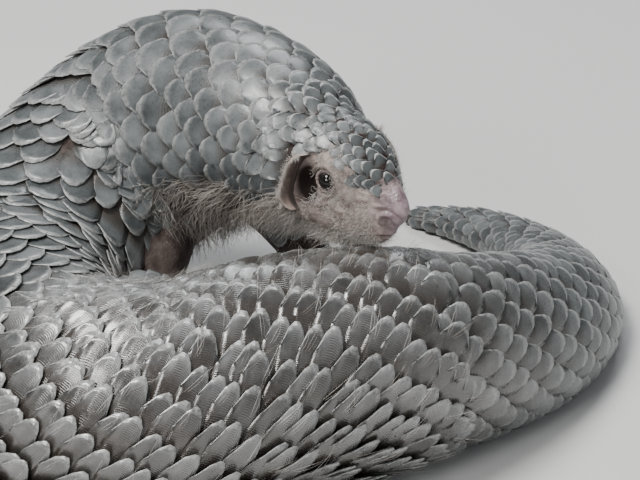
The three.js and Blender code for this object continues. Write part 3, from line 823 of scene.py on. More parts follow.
def body_roots(chance, first, last, spacing, column, limit, rise, share_wide):
    """The roots of the broad plates of one region of the body."""
    roots = []
    for row, place in enumerate(spine_places(first, last, spacing)):
        _, _, _, wide, back, _, splay = spine_at(place)
        girth = girth_at(wide, back)
        taper = min(1, 0.35 + girth / (360 * MILLIMETRE)) * plate_growth(place)
        step = 360 * column * MILLIMETRE * taper / girth
        if limit == ALL_ROUND:
            step = 360 / max(round(360 / step), 5)
        count = int(limit / step)
        for k in range(-count, count + 1):
            turn = (k + 0.5 * (row % 2)) * step
            if abs(turn) > limit or (limit == ALL_ROUND and turn > ALL_ROUND - step / 4):
                continue
            here, tailward, out = skin_directions(body_skin, place, turn)
            crowding = (body_skin(place + 0.05, turn) - here).length / outer_step(place, 0.05, (-45, 0, 45))
            if crowding < CROWDED and row % 2 and limit < ALL_ROUND:
                continue
            forward, aside, up = BEHIND_EAR
            if min((here - head_point(forward, side * aside, up)).length for side in (-1, 1)) < EAR_CLEARANCE:
                continue
            lean = splay * min(abs(turn) / 40, 1) * math.copysign(1, turn) + chance.gauss(0, LEAN_VARIETY)
            size = taper * (1 - 0.25 * max(abs(turn) - 60, 0) / 120)
            size *= 0.55 + 0.45 * min(crowding, 1)
            length = PLATE_LENGTH * spacing * size * chance.uniform(0.95, 1.06)
            width = share_wide * column * size * chance.uniform(0.95, 1.05)
            roots.append(root_of(here, leaned(tailward, out, lean), out, length, width,
                                 rise * size * chance.uniform(0.85, 1.15),
                                 map_place(place / SPINE_END, turn)))
    return roots


# The rump's plates are long, narrow and flat, in rows that run across a slanting grain. Each pair of the
# leans is a turn from the back and the degrees by which a plate there turns away from the spine.
RUMP_PLACES = (7.6, 11.2)
RUMP_ROWS = 14
RUMP_COLUMNS = 32
RUMP_LIMIT = 124
RUMP_COLUMN = 10.5
RUMP_ROW = 21
RUMP_RISE = 4.1
RUMP_LENGTH = 2.15
RUMP_WIDTH = 1.7
RUMP_GRAIN = math.radians(58)
RUMP_LEANS = [(-60, 0), (-25, 40), (14, 54), (45, 62), (75, 58), (100, 45), (125, 30)]
TAIL_BLUNTING = 10.1


def rump_roots(chance):
    """The roots of the long narrow plates of the rump."""
    place, last = RUMP_PLACES
    lengths = []
    travelled = 0.0
    while place < last:
        lengths.append((travelled, place))
        travelled += outer_step(place, SPINE_STEP, (-45, 0, 45)) / MILLIMETRE
        place += SPINE_STEP
    grain = Vector((math.cos(RUMP_GRAIN), math.sin(RUMP_GRAIN)))
    across = Vector((math.sin(RUMP_GRAIN), -math.cos(RUMP_GRAIN)))
    middle = Vector((travelled / 2, 0))
    roots = []
    for row in range(-RUMP_ROWS, RUMP_ROWS + 1):
        for column in range(-RUMP_COLUMNS, RUMP_COLUMNS + 1):
            spot = middle + grain * row * RUMP_ROW + across * (column + 0.5 * (row % 2)) * RUMP_COLUMN
            spot += across * chance.gauss(0, 0.5) + grain * chance.gauss(0, 1.0)
            if not 0 <= spot.x <= travelled:
                continue
            place = along_list(lengths, spot.x)
            _, _, _, wide, back, _, splay = spine_at(place)
            turn = 360 * spot.y / (girth_at(wide, back) / MILLIMETRE)
            if abs(turn) > RUMP_LIMIT:
                continue
            here, tailward, out = skin_directions(body_skin, place, turn)
            lean = splay * min(abs(turn) / 40, 1) * math.copysign(1, turn)
            if turn > -60:
                share = clamped((place - 7.5) / 0.7) * clamped((11.9 - place) / 1.2)
                lean += share * (along_list(RUMP_LEANS, turn) + 14 * max(9.6 - place, 0) - lean)
            along = leaned(tailward, out, lean + chance.gauss(0, LEAN_VARIETY))
            blunt = clamped(place - TAIL_BLUNTING)
            length = RUMP_LENGTH * RUMP_ROW * (1 - 0.3 * blunt) * chance.uniform(0.94, 1.06)
            width = RUMP_WIDTH * RUMP_COLUMN * (1 + 0.25 * blunt) * chance.uniform(0.94, 1.06)
            roots.append(root_of(here, along, out, length, width, RUMP_RISE * chance.uniform(0.85, 1.15),
                                 map_place(place / SPINE_END, turn)))
    return roots


# The head's plates are small and pointed, smallest on the snout, and fan out from the crown to the cheeks.
# They stand in staggered rows of the same horn, down to the edge of the scaled cap.
HEAD_ROW = 7.0
HEAD_COLUMN = 8.2
HEAD_COLUMNS = 12
HEAD_RISE = 2.7
FULL_SIZE_FROM = 60


def head_roots(chance):
    """The roots of the small plates of the crown and brow."""
    roots = []
    forward = CAP_FRONT
    row = 0
    while forward > CAP_EDGE[0][0] + 1:
        place, wide, top, bottom = head_section(forward)
        back_share = min(-forward / FULL_SIZE_FROM, 1)
        step = math.degrees(HEAD_COLUMN * (0.55 + 0.45 * back_share) / ((wide + (top - bottom) / 2) / 2))
        for k in range(-HEAD_COLUMNS, HEAD_COLUMNS + 1):
            turn = (k + 0.5 * (row % 2) + chance.gauss(0, 0.11)) * step
            if abs(turn) > along_list(CAP_EDGE, forward):
                continue
            here, tailward, out = skin_directions(head_skin, place + chance.gauss(0, 0.05), turn)
            splay = 48 if forward > -58 else 30
            lean = (splay * min(abs(turn) / 45, 1) + chance.gauss(0, 4)) * math.copysign(1, turn)
            size = 0.6 + 0.4 * back_share + 0.25 * clamped((-forward - FULL_SIZE_FROM) / 24)
            length = 2.5 * HEAD_ROW * size * chance.uniform(0.92, 1.15)
            width = 1.52 * HEAD_COLUMN * size * chance.uniform(0.9, 1.15)
            roots.append(root_of(here, leaned(tailward, out, lean), out, length, width,
                                 HEAD_RISE * size * chance.uniform(0.85, 1.2),
                                 (0.5 + forward / 200, 0.5 + turn / 400, 0)))
        forward -= HEAD_ROW * (0.6 + 0.4 * back_share) * (0.8 if forward > -40 else 1)
        row += 1
    return roots


# The horn is slate on the head and back and turns to warm silver on the rump, where it is glossier and its
# ribs stand on the right side of each plate. Painted shade darkens it in the overlaps and in the grooves
# between the ribs, and it is worn pale at the tips.
def horn_material():
    """Slate horn, with the lengthwise and sideways place on the plate read from its spot."""
    material, tree = new_material("horn", (0.15, 0.17, 0.175), 0.34, Coat_Roughness=0.16)

    def added(first, second):
        return math_node(tree, "ADD", first, second)

    def times(first, second):
        return math_node(tree, "MULTIPLY", first, second)

    spot = carried(tree, "spot", "Vector")
    warm = carried(tree, "warm")
    parts = node_chain(tree, "ShaderNodeSeparateXYZ", {"Vector": spot}).outputs
    along = parts["X"]
    aside = math_node(tree, "ABSOLUTE", parts["Y"])
    cloud = cloudy(tree, 75, 6)
    grain = cloudy(tree, 520, 5, 0.65)
    tone = added(times(cloud, 0.6), times(carried(tree, "shade"), 0.4))
    cool = ramp(tree, tone, [(0.3, (0.036, 0.042, 0.044)), (0.48, (0.095, 0.106, 0.109)),
                             (0.7, (0.21, 0.225, 0.226))])
    silver = ramp(tree, tone, [(0.3, (0.034, 0.031, 0.03)), (0.48, (0.122, 0.121, 0.121)),
                               (0.7, (0.34, 0.344, 0.35))])
    edges = added(ranged(tree, along, 0.82, 1.02), ranged(tree, aside, 0.8, 1.05, 0, 0.5))
    wear = math_node(tree, "MULTIPLY", edges, ranged(tree, grain, 0.34, 0.62, 0.3, 1.0), clamp=True)
    worn = mixed_color(tree, wear, mixed_color(tree, warm, cool, silver), (0.47, 0.48, 0.465))

    def by_warmth(slate, silvery):
        return node_chain(tree, "ShaderNodeMix", {0: warm, 2: slate, 3: silvery},
                          data_type="FLOAT").outputs[0]

    # Painted shade in the overlaps: the root end of each plate, under the tip of the plate before it, is
    # mixed towards dark brown.
    overlap_shade = by_warmth(ranged(tree, along, 0.3, 0.66, 0.85, 0.0), ranged(tree, along, 0.5, 0.95, 0.97, 0.0))
    with_overlap_shade = mixed_color(tree, overlap_shade, worn, (0.042, 0.032, 0.025))
    pitch = ranged(tree, warm, 0, 0.6, 120, 200)
    wave = math_node(tree, "SINE", added(times(along, pitch), times(cloud, 4.0)))
    side_zone = by_warmth(ranged(tree, aside, 0.4, 0.85), ranged(tree, parts["Y"], 0.5, -0.05))
    rib_zone = math_node(tree, "MAXIMUM", ranged(tree, along, 0.66, 0.45), side_zone)
    rib_zone = times(rib_zone, ranged(tree, along, 0.98, 0.8))
    rib_zone = times(rib_zone, ranged(tree, cloud, 0.38, 0.58, 0.25, 1.0))
    ribs = times(times(wave, rib_zone), ranged(tree, warm, 0, 1, 0.5, 1.7))
    # Painted shade in the grooves: the troughs of the ribs are mixed towards near black.
    groove = times(ranged(tree, ribs, 0.2, -0.9), 0.85)
    long_way = vector_node(tree, "MULTIPLY", spot, (1.5, 14, 1))
    streak = node_chain(tree, "ShaderNodeTexNoise",
                        {"Vector": long_way, "Scale": 2.5, "Detail": 3}).outputs["Fac"]
    relief = added(ribs, added(times(grain, 0.3), streak))
    dull = added(ranged(tree, grain, 0.3, 0.7, 0.24, 0.42), times(wear, 0.1))
    link_surface(tree, {
        "Base Color": mixed_color(tree, groove, with_overlap_shade, (0.03, 0.024, 0.02)),
        "Normal": bumped(tree, relief, 0.6, 0.00011),
        "Roughness": math_node(tree, "SUBTRACT", dull, times(warm, 0.12)),
        "Specular IOR Level": ranged(tree, warm, 0, 0.8, 0.7, 1.0),
        "Coat Weight": ranged(tree, warm, 0, 0.8, 0.2, 0.8),
    })
    return material


HORN = horn_material()
SHINGLE_TILT = 0.32
plate_chance = random.Random(5)
shade_chance = random.Random(11)


def spine_place(uv):
    """The place on the spine of a root, from its place on the texture map."""
    return (uv[0] - 0.05) / 0.9 * SPINE_END


def warmth(region, uv):
    """How far the slate turns to warm silver, which it does on the rump and the root of the tail."""
    if region == "head":
        return 0.0
    rise_share = clamped((spine_place(uv) - 7.0) / 1.6)
    fall_share = clamped((12.8 - spine_place(uv)) / 2.2)
    return min(rise_share, fall_share) * shade_chance.uniform(0.6, 1.0)


def shingle_tilt(region, uv):
    """How far a rump plate's right side lies over its neighbour, which fades out towards the tail."""
    return SHINGLE_TILT * clamped((11.0 - spine_place(uv)) / 0.8) if region == "rump" else 0.0


region_roots = {name: body_roots(plate_chance, *sizes) for name, *sizes in SCUTE_REGIONS}
region_roots["rump"] = rump_roots(plate_chance)
region_roots["head"] = head_roots(plate_chance)
for region, roots in region_roots.items():
    uvs = [root[-1] for root in roots]
    scute_mesh = grown(f"{region}_scutes", roots,
                       {"shade": [shade_chance.uniform(0.2, 0.8) for _ in roots],
                        "tilt": [shingle_tilt(region, uv) for uv in uvs],
                        "warm": [warmth(region, uv) for uv in uvs]},
                       Plate={"rump": flat_plate, "head": pointed_plate}.get(region, domed_plate),
                       Form=front_form if region in ("neck", "head") else body_form,
                       Follow=PLATE_FOLLOW, Finish=HORN)
    scutes = object_of(f"{region}_scutes", scute_mesh)
    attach(scutes, "root")

# Legs: smaller plates of the same horn on the outer side of each leg, with their tips towards the foot.
# They grow in staggered rows round the leg, and the inner side next to the body stays bare.
LEG_ROW = 10
LEG_COLUMN = 12
LEG_COLUMNS = 4
LEG_REACH = 88
LEG_RISE = 2.6
FULL_LEG_RADIUS = 0.03
SHOULDER_HEIGHT = 88
SHOULDER_PLACE = 3.6
HIP_PLACE = 9


def leg_roots(joints, chance):
    """The roots of the plates on the outer side of a leg."""
    at_shoulder = joints[0][2] > SHOULDER_HEIGHT
    inner = spine_at(SHOULDER_PLACE if at_shoulder else HIP_PLACE)[0]
    roots = []
    travelled = 0.0
    for (*start, start_radius), (*end, end_radius) in zip(joints, joints[1:]):
        start = place_of(*start)
        end = place_of(*end)
        axis = (end - start).normalized()
        outward = start - inner
        outward = (outward - axis * outward.dot(axis)).normalized()
        rows = int((end - start).length / (LEG_ROW * MILLIMETRE))
        for row in range(rows + 1):
            share = (row + 0.2) / (rows + 1)
            radius = (start_radius + (end_radius - start_radius) * share) * MILLIMETRE
            step = math.degrees(LEG_COLUMN * MILLIMETRE * (0.6 + 0.4 * radius / FULL_LEG_RADIUS) / radius)
            for k in range(-LEG_COLUMNS, LEG_COLUMNS + 1):
                turn = (k + 0.5 * (row % 2)) * step
                if abs(turn) > LEG_REACH:
                    continue
                out = leaned(outward, axis, turn)
                here = start + (end - start) * share + out * radius
                size = 0.55 + 0.45 * min(radius / FULL_LEG_RADIUS, 1)
                roots.append(root_of(here, axis, out, 2.1 * LEG_ROW * size,
                                     1.2 * LEG_COLUMN * size * chance.uniform(0.95, 1.05), LEG_RISE * size,
                                     (0.1 + 0.08 * row + travelled, 0.5 + turn / 400, 0)))
        travelled += 0.4
    return roots


leg_chance = random.Random(9)
for limb_name, (joints, _toes, _claws) in LIMBS.items():
    leg_form = form_object("leg_form", *(
        capsule(place_of(*start), start_radius * MILLIMETRE, place_of(*end), end_radius * MILLIMETRE, 32, 6)
        for (*start, start_radius), (*end, end_radius) in zip(joints, joints[1:])))
    roots = leg_roots(joints, leg_chance)
    leg_mesh = grown(f"{limb_name}_scutes", roots,
                     {"shade": [leg_chance.uniform(0.3, 0.7) for _ in roots], "warm": [0.0] * len(roots)},
                     Plate=domed_plate, Form=leg_form, Follow=PLATE_FOLLOW, Finish=HORN)
    leg_scutes = object_of(f"{limb_name}_scutes", leg_mesh)
    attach(leg_scutes, "root")
    bpy.data.objects.remove(leg_form)

# Ears: a small upright flap of thick skin behind each ear hole, cupped forwards, with a rolled pale rim.
# It grows out of the side of the head, and painted shade darkens the hollow of its cup near the root. Its
# root and free edge are points in the head's own millimetres.
EAR_ROOT = [(-55, 22.5, 16.5), (-59.5, 24.5, 13), (-63, 26, 5), (-65, 27, -4), (-65, 27, -12),
            (-61, 26.5, -18)]
EAR_EDGE = [(-57, 27, 18.5), (-62, 30, 15.5), (-66.5, 32.5, 8), (-68.5, 33.5, -1), (-70.5, 34.5, -10),
            (-67, 32.5, -18)]
EAR_STATIONS = 34
EAR_SIDES = 22
EAR_THICK = 1.15
EAR_CUP = 2.6
RIM_CURL = 1.8
EAR_UNEVEN = 0.35

ear_skin, ear_tree = new_material("ear_skin", (0.42, 0.33, 0.29), 0.55, Subsurface_Weight=0.2,
                                  Subsurface_Radius=SKIN_GLOW_RADIUS)
ear_cloud = cloudy(ear_tree, 260, 5)
ear_color = ramp(ear_tree, ear_cloud, [(0.3, (0.13, 0.093, 0.078)), (0.65, (0.31, 0.235, 0.2))])
ear_tone = mixed_color(ear_tree, carried(ear_tree, "rim"), ear_color, (0.46, 0.375, 0.335))
# Painted shade: the hollow of the flap's cup, near its root, is mixed towards near black.
link_surface(ear_tree, {
    "Base Color": mixed_color(ear_tree, carried(ear_tree, "hollow_shade"), ear_tone, (0.035, 0.022, 0.018)),
    "Normal": bumped(ear_tree, ear_cloud, 0.4, 0.0005),
})


def ear_ways(station):
    """The root of an ear's flap at a station along it, its reach to the edge, and its forward side."""
    root = Vector(between(EAR_ROOT, station))
    reach = Vector(between(EAR_EDGE, station)) - root
    front = Vector((0, 0, -1)).cross(reach).normalized()
    return root, reach, front * math.copysign(1, front.x)


def ear_mesh(side):
    """A cupped flap lofted from its root to its free edge."""
    form = bmesh.new()
    rim = form.verts.layers.float.new("rim")
    hollow_shade = form.verts.layers.float.new("hollow_shade")
    loops = []
    for k in range(EAR_STATIONS):
        along = k / (EAR_STATIONS - 1)
        root, reach, front = ear_ways((len(EAR_ROOT) - 1) * along)
        end_taper = math.sqrt(max(1 - abs(2 * along - 1) ** 4, 0.03))
        loop = []
        for j in range(EAR_SIDES):
            turn = 2 * math.pi * j / EAR_SIDES
            share = 0.5 - 0.5 * math.cos(turn)
            thick = EAR_THICK * (1 + bell(share - 0.86, 0.17)) + 0.8 * bell(share, 0.3)
            cup = RIM_CURL * bell(share - 1, 0.2) - EAR_CUP * math.sin(math.pi * share)
            point = root + reach * (share * (0.4 + 0.6 * end_taper))
            point += front * (cup + thick * math.sin(turn)) * end_taper
            point += Vector((1, 1, 1)) * EAR_UNEVEN * noise.noise(point * 0.3)
            vert = form.verts.new(head_point(point.x, point.y * side, point.z))
            vert[rim] = bell(share - 1, 0.3)
            # Painted shade in the hollow of the cup, on its forward face near the root.
            vert[hollow_shade] = clamped(3 * math.sin(turn) + 0.6) * clamped((0.62 - share) / 0.35)
            loop.append(vert)
        loops.append(loop)
    loft(form, loops)
    for loop in (loops[0], loops[-1]):
        form.faces.new(loop)
    bmesh.ops.recalc_face_normals(form, faces=form.faces)
    mesh = mesh_of(form, "ear")
    mesh.shade_smooth()
    mesh.materials.append(ear_skin)
    return mesh


for side_name, side in (("right", 1), ("left", -1)):
    flap = object_of(f"ear_flap_{side_name}", ear_mesh(side))
    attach(flap, "root")
    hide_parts(f"ear_{side_name}")

# Hair: sparse pale wiry hairs in small tufts, that lie back over the cheeks, the throat and the belly,
# fringe the ears and lie over the scales of the rump. Each tuft is a solid mesh set by the same tree.

# Each row is a patch of hair: the surface it grows from, the places along it, the turns from the back,
# how many tufts, their length and width in millimetres, how far they stand out and droop, and how pale
# they are. The patches are the cheek, muzzle, temple, chin, nape, throat and belly.
HAIR_PATCHES = [
    (head_skin, (3.5, 7.0), (84, 165), 900, (2.6, 5.4), 3.2, 0.3, 0.0, (0.4, 0.95)),
    (head_skin, (3.4, 6.4), (56, 96), 320, (2, 3.4), 2.0, 0.3, 0.0, (0.4, 0.95)),
    (head_skin, (4.3, 6.2), (42, 84), 420, (2.4, 4.6), 2.4, 0.35, 0.0, (0.25, 0.8)),
    (head_skin, (5.0, 8.6), (138, 180), 620, (8, 17), 3.0, 0.45, 0.5, (0.2, 0.85)),
    (head_skin, (7.2, 8.9), (110, 150), 240, (10, 18), 3.0, 0.5, 0.4, (0.3, 0.95)),
    (body_skin, (0.35, 3.2), (104, 180), 900, (12, 26), 3.4, 0.45, 0.5, (0.0, 0.7)),
    (body_skin, (3.2, 9.0), (118, 180), 480, (8, 15), 3.0, 0.4, 0.2, (0.15, 0.75)),
]
HAIRS = 5
HAIRS_OVER_PLATES = 3
HAIR_STEPS = 4
HAIR_RADIUS = 0.034
HAIR_LOW = 2.7
HAIR_CLIMB = 1.6
HAIR_TEMPLATES = 3
HAIR_SINK = -0.0002
BARE_ROUND_EYE = 7.5
RUMP_HAIR_SHARE = 0.7
RUMP_HAIR_LENGTHS = (16, 28)
RUMP_HAIR_WIDTH = 1.8
RUMP_HAIR_ASIDE = 4
EAR_TUFTS = 170
EAR_HAIR_LENGTHS = (1.8, 3.6)
EAR_HAIR_WIDTH = 1.4

hair_straw, hair_tree = new_material("hair_straw", (0.6, 0.54, 0.46), 0.42)
hair_spot = node_chain(hair_tree, "ShaderNodeSeparateXYZ", {"Vector": carried(hair_tree, "spot", "Vector")})
hair_tone = math_node(hair_tree, "ADD", math_node(hair_tree, "MULTIPLY", hair_spot.outputs["X"], 0.35),
                      carried(hair_tree, "shade"))
link_surface(hair_tree, {"Base Color": ramp(hair_tree, hair_tone, [
    (0.2, (0.2, 0.165, 0.14)), (0.6, (0.5, 0.45, 0.4)), (1.1, (0.82, 0.79, 0.75))])})


def tuft_mesh(seed, follows=False):
    """A tuft of thin tapering three-sided hairs, one long and one wide, that bend over as they rise. One that
    follows the form keeps its height over it, above the plates, for the tree to read."""
    chance = random.Random(seed)
    form = bmesh.new()
    spot = form.verts.layers.float_vector.new("spot")
    for _ in range(HAIRS_OVER_PLATES if follows else HAIRS):
        start_side = chance.uniform(-0.6, 0.6)
        end_side = chance.uniform(-1.8, 1.8)
        start = chance.uniform(0, 0.25)
        reach = chance.uniform(0.6, 1.0)
        rise = chance.uniform(1.2, 2.6)
        drop = chance.uniform(0.6, 1.6)
        sway = chance.uniform(-0.9, 0.9)
        loops = []
        for step in range(HAIR_STEPS + 1):
            share = step / HAIR_STEPS
            across = start_side + (end_side - start_side) * share + sway * math.sin(math.pi * share)
            height = -0.5 + rise * share - drop * share ** 2
            centre = Vector((start + (reach - start) * share, across, height))
            loop = []
            for j in range(3):
                turn = 2 * math.pi * j / 3
                point = centre + Vector((0, math.cos(turn), math.sin(turn))) * HAIR_RADIUS * (1 - 0.7 * share)
                vert = form.verts.new(point)
                vert[spot] = (share, 0, point.z + HAIR_LOW + HAIR_CLIMB * share if follows else 0)
                loop.append(vert)
            loops.append(loop)
        loft(form, loops)
        form.faces.new(reversed(loops[0]))
        form.faces.new(loops[-1])
    bmesh.ops.recalc_face_normals(form, faces=form.faces)
    return mesh_of(form, "tuft")


def on_bare_part(point):
    """Whether a point of the head's own frame lies in the dark hollow of an ear or on the ball of an eye."""
    from_hole = point - Vector(EAR_HOLE)
    from_eye = point - Vector(EYE_PLACE)
    in_hole = math.hypot(from_hole.x / 7.5, from_hole.z / 11) < 1
    return in_hole or math.hypot(from_eye.x, from_eye.z) < BARE_ROUND_EYE


hair_chance = random.Random(23)
tufts = [[] for _ in range(HAIR_TEMPLATES)]
for surface, places, turns, count, lengths, spread, stand, droop, pales in HAIR_PATCHES:
    surface_end = SPINE_END if surface is body_skin else HEAD_END
    for number in range(count):
        place = hair_chance.uniform(*places)
        turn = hair_chance.uniform(*turns)
        if number % 2:
            turn = -turn
        if surface is head_skin and on_bare_part(head_local(place, turn, detailed=False)):
            continue
        here, tailward, out = skin_directions(surface, place, turn)
        along = tailward + out * (stand + hair_chance.gauss(0, 0.15)) + Vector((0, 0, -droop))
        along = (Matrix.Rotation(hair_chance.gauss(0, 0.4), 3, out) @ along).normalized()
        upward = (out - along * out.dot(along)).normalized()
        root = root_of(here + out * HAIR_SINK, along, upward, hair_chance.uniform(*lengths), spread, spread,
                       map_place(place / surface_end, turn))
        tufts[number % HAIR_TEMPLATES].append((root, hair_chance.uniform(*pales)))

ear_chance = random.Random(31)
for side in (1, -1):
    for number in range(EAR_TUFTS):
        ear_root, reach, front = ear_ways(ear_chance.uniform(0.5, len(EAR_EDGE) - 1.4))
        face = ear_chance.choice((-1, 1, 1))
        here = ear_root + reach * ear_chance.uniform(0.75, 1.0) + front * (0.6 + face * 1.2)
        way = reach.normalized() * 0.8 + front * face * 0.5
        way += Vector([ear_chance.gauss(0, 0.3) for _ in range(3)])
        spots = [head_point(spot.x, spot.y * side, spot.z)
                 for spot in (here, here + way, here + front * face)]
        along = (spots[1] - spots[0]).normalized()
        out = spots[2] - spots[0]
        out = (out - along * out.dot(along)).normalized()
        root = root_of(spots[0], along, out, ear_chance.uniform(*EAR_HAIR_LENGTHS), EAR_HAIR_WIDTH,
                       EAR_HAIR_WIDTH, (0.97, 0.5 + 0.3 * side, 0))
        tufts[number % HAIR_TEMPLATES].append((root, ear_chance.uniform(0.35, 0.9)))

rump_tufts = []
for here, along, out, (length, _, _), uv in region_roots["rump"]:
    if hair_chance.random() < RUMP_HAIR_SHARE:
        edge = out.cross(along) * hair_chance.choice((-RUMP_HAIR_ASIDE, RUMP_HAIR_ASIDE)) * MILLIMETRE
        direction = Matrix.Rotation(hair_chance.gauss(0, 0.3), 3, out) @ along
        root = root_of(here + along * length * 0.55 + edge, direction, out,
                       hair_chance.uniform(*RUMP_HAIR_LENGTHS), RUMP_HAIR_WIDTH, RUMP_HAIR_WIDTH, uv)
        rump_tufts.append((root, hair_chance.uniform(0.3, 0.9)))

for number, tuft_list in enumerate((*tufts, rump_tufts)):
    over_plates = tuft_list is rump_tufts
    tuft = object_of("tuft", tuft_mesh(number, over_plates))
    roots, pales = zip(*tuft_list)
    hair_mesh = grown(f"hair_{number + 1}", roots, {"shade": pales}, Plate=tuft, Form=body_form,
                      Follow=1.0 if over_plates else 0.0, Finish=hair_straw)
    hair = object_of(f"hair_{number + 1}", hair_mesh)
    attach(hair, "root")
    bpy.data.objects.remove(tuft)

for helper in (body_form, front_form, domed_plate, pointed_plate, flat_plate):
    bpy.data.objects.remove(helper)

# Claws: long curved digging claws of brown horn, three strong ones between two small ones on each paw.
# They grow out of the toes, are worn pale at the tips, and those that reach the floor are worn flat on it.
CLAW_RADIUS = 3.4
CLAW_ROOT = 5
CLAW_RINGS = 12
CLAW_SIDES = 16
CLAW_FAN = 0.28
CLAW_FLAT = 0.4

claw_horn, claw_tree = new_material("claw_horn", (0.25, 0.2, 0.15), 0.3)
claw_cloud = cloudy(claw_tree, 240, 5)
claw_tone = math_node(claw_tree, "ADD", carried(claw_tree, "share"),
                      math_node(claw_tree, "MULTIPLY", claw_cloud, 0.5))
link_surface(claw_tree, {
    "Base Color": ramp(claw_tree, claw_tone, [(0.2, (0.07, 0.052, 0.04)), (0.6, (0.27, 0.21, 0.15)),
                                              (1.2, (0.52, 0.45, 0.35))]),
    "Normal": bumped(claw_tree, claw_cloud, 0.4, 0.0004),
})

claw_form = bmesh.new()
claw_share = claw_form.verts.layers.float.new("share")
upright = Vector((0, 0, 1))
for joints, toes, claw_lengths in LIMBS.values():
    _, toe, ahead, across = paw_ways(joints, toes)
    for number, claw_length in enumerate(claw_lengths):
        spread = (number - 2) / 2
        whole_length = (claw_length + CLAW_ROOT) * MILLIMETRE
        direction = (ahead + across * CLAW_FAN * spread).normalized()
        base = toe + (across * spread * (PALM_HALF_WIDTH + 4)
                      + direction * (TOE_RADIUS - CLAW_ROOT - 3 * abs(spread))) * MILLIMETRE
        rings = []
        for k in range(CLAW_RINGS + 1):
            share = k / CLAW_RINGS
            radius = CLAW_RADIUS * MILLIMETRE * math.sqrt(max(1 - share, 0.004)) * (1 - 0.25 * share)
            rise = 0.32 * share * (1 - share) - 0.3 * share ** 2
            centre = base + (direction * share + upright * rise) * whole_length
            rings.append([centre + across * radius * math.cos(turn) + upright * radius * math.sin(turn)
                          for turn in (2 * math.pi * j / CLAW_SIDES for j in range(CLAW_SIDES))])
        first_vert = len(claw_form.verts)
        tube(claw_form, rings)
        for vert in list(claw_form.verts)[first_vert:]:
            vert[claw_share] = (vert.co - base).length / whole_length
            vert.co.z = max(vert.co.z, CLAW_FLAT * MILLIMETRE)
bmesh.ops.recalc_face_normals(claw_form, faces=claw_form.faces)
claw_mesh = mesh_of(claw_form, "claws")
claw_mesh.shade_smooth()
claw_mesh.materials.append(claw_horn)
claws = object_of("claws", claw_mesh)
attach(claws, "root")

# Eyes: small black wet balls that sit in their sockets, each half hidden by a pale round lid. A faint
# brown cloud shows in the black, and the film of tears over it is not quite even.
eye_black, eye_tree = new_material("eye_black", (0.004, 0.004, 0.005), 0.06, Specular_IOR_Level=0.35,
                                   Coat_Weight=0.15)
eye_cloud = cloudy(eye_tree, 900, 3)
link_surface(eye_tree, {
    "Base Color": ramp(eye_tree, eye_cloud, [(0.35, (0.003, 0.003, 0.004)), (0.7, (0.016, 0.012, 0.01))]),
    "Roughness": ranged(eye_tree, eye_cloud, 0.3, 0.7, 0.03, 0.1),
})


def eye_centre(side):
    """The centre of the eye on one side, in the head's own millimetres."""
    forward, aside, up = EYE_PLACE
    return Vector((forward, aside * side, up))


for side_name, side in (("right", 1), ("left", -1)):
    form = bmesh.new()
    bmesh.ops.create_uvsphere(form, u_segments=40, v_segments=24, radius=EYE_RADIUS * MILLIMETRE)
    bmesh.ops.translate(form, verts=form.verts, vec=head_point(*eye_centre(side)))
    eye_mesh = mesh_of(form, "eye")
    eye_mesh.shade_smooth()
    eye_mesh.materials.append(eye_black)
    eye = object_of(f"eyeball_{side_name}", eye_mesh)
    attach(eye, "root")
    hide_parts(f"eye_{side_name}")

# Eyelids: a thick soft ring of bare skin round each eye, thicker over it than under it. Small wet beads
# shine along the lower lid where it meets the ball: they are glossier, and their shine is a painted pale
# highlight.
LID_RING = 5.8
LID_LIFT = 2.0
LID_THICK = 0.68
LID_STATIONS = 72
LID_SIDES = 14
LID_FACING = (0.3, 0.95, 0.1)

lid_skin, lid_tree = new_material("lid_skin", (0.36, 0.28, 0.26), 0.38)
lid_cloud = cloudy(lid_tree, 700, 4)
lid_wet_highlight = carried(lid_tree, "wet_highlight")
lid_color = ramp(lid_tree, lid_cloud, [(0.35, (0.1, 0.075, 0.07)), (0.6, (0.3, 0.235, 0.22))])
# The wet beads are a painted highlight: a pale colour, over a lower roughness.
link_surface(lid_tree, {
    "Base Color": mixed_color(lid_tree, lid_wet_highlight, lid_color, (0.82, 0.76, 0.74)),
    "Roughness": ranged(lid_tree, lid_wet_highlight, 0, 1, 0.5, 0.12),
    "Normal": bumped(lid_tree, lid_cloud, 0.5, 0.0004),
})


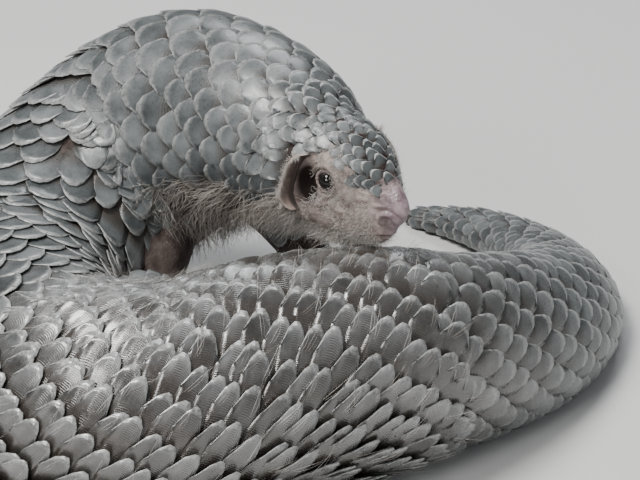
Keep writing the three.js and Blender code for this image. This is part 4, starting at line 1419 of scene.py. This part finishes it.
def lid_mesh(side):
    """A closed soft ring round the eye, uneven in its thickness and its way round."""
    form = bmesh.new()
    wet_highlight = form.verts.layers.float.new("wet_highlight")
    forward, aside, up = LID_FACING
    facing = Vector((forward, aside * side, up)).normalized()
    across = Vector((0, 0, 1)).cross(facing).normalized()
    upward = facing.cross(across)
    loops = []
    for i in range(LID_STATIONS):
        turn = 2 * math.pi * i / LID_STATIONS
        high = 0.5 + 0.5 * math.sin(turn)
        outward = across * math.cos(turn) + upward * math.sin(turn)
        thick = LID_THICK + 0.25 * high + 0.08 * math.sin(5 * turn + 1) + 0.1 * math.sin(13 * turn)
        ring = LID_RING + 0.55 * high + 0.1 * math.sin(3 * turn)
        bead = (0.55 + 0.45 * (1 - high) ** 0.7) * (0.75 + 0.25 * math.sin(29 * turn))
        centre = eye_centre(side) + facing * LID_LIFT + outward * ring
        loop = []
        for j in range(LID_SIDES):
            roll = 2 * math.pi * j / LID_SIDES
            point = centre + (outward * math.cos(roll) * 1.15 + facing * math.sin(roll)) * thick
            vert = form.verts.new(head_point(*point))
            # Painted highlight of the wet beads, on the inner edge of the ring and strongest under the eye.
            vert[wet_highlight] = max(0.0, -math.cos(roll - 0.9)) ** 2 * bead
            loop.append(vert)
        loops.append(loop)
    loft(form, loops + loops[:1])
    bmesh.ops.recalc_face_normals(form, faces=form.faces)
    mesh = mesh_of(form, "lid")
    mesh.shade_smooth()
    mesh.materials.append(lid_skin)
    return mesh


for side_name, side in (("right", 1), ("left", -1)):
    lid = object_of(f"lid_{side_name}", lid_mesh(side))
    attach(lid, "root")

# Floor: a plain pale studio floor of matt paint under soft light. A key lamp hangs over the animal's right
# side, a small one stands in front, weaker ones beside and behind it, and the room is dim.
FLOOR_HALF = 3.0
ROOM_LIGHT = 0.22
ROOM_COLOR = (0.8, 0.84, 0.88, 1)

floor_mesh = bpy.data.meshes.new("floor")
floor_mesh.from_pydata([(x * FLOOR_HALF, y * FLOOR_HALF, 0) for x, y in ((-1, -1), (1, -1), (1, 1), (-1, 1))],
                       [], [(0, 1, 2, 3)])
floor = object_of("floor", floor_mesh)
floor_paint, _ = new_material("floor_paint", (0.72, 0.72, 0.71), 0.8)
floor_mesh.materials.append(floor_paint)


def soft_light(name, place, size, power, color, target=(0, 0, 0.08)):
    """A square lamp at a place, turned to its target."""
    data = bpy.data.lights.new(name, "AREA")
    data.size = size
    data.energy = power
    data.color = color
    lamp = bpy.data.objects.new(name, data)
    lamp.location = place
    lamp.rotation_euler = (Vector(target) - Vector(place)).to_track_quat("-Z", "Y").to_euler()
    bpy.context.collection.objects.link(lamp)


soft_light("key_light", (-0.55, -0.35, 1.65), size=0.6, power=34, color=(1.0, 0.98, 0.96))
soft_light("front_light", (-0.7, -1.2, 1.0), size=0.45, power=11, color=(1.0, 0.99, 0.97),
           target=(0, -0.05, 0.08))
soft_light("fill_light", (1.2, -1.5, 1.0), size=1.0, power=3, color=(0.95, 0.98, 1.0))
soft_light("back_light", (0.3, 1.3, 1.5), size=0.8, power=14, color=(0.95, 0.98, 1.0))
world = bpy.data.worlds.new("room")
world.use_nodes = True
world.node_tree.nodes["Background"].inputs["Color"].default_value = ROOM_COLOR
world.node_tree.nodes["Background"].inputs["Strength"].default_value = ROOM_LIGHT
bpy.context.scene.world = world
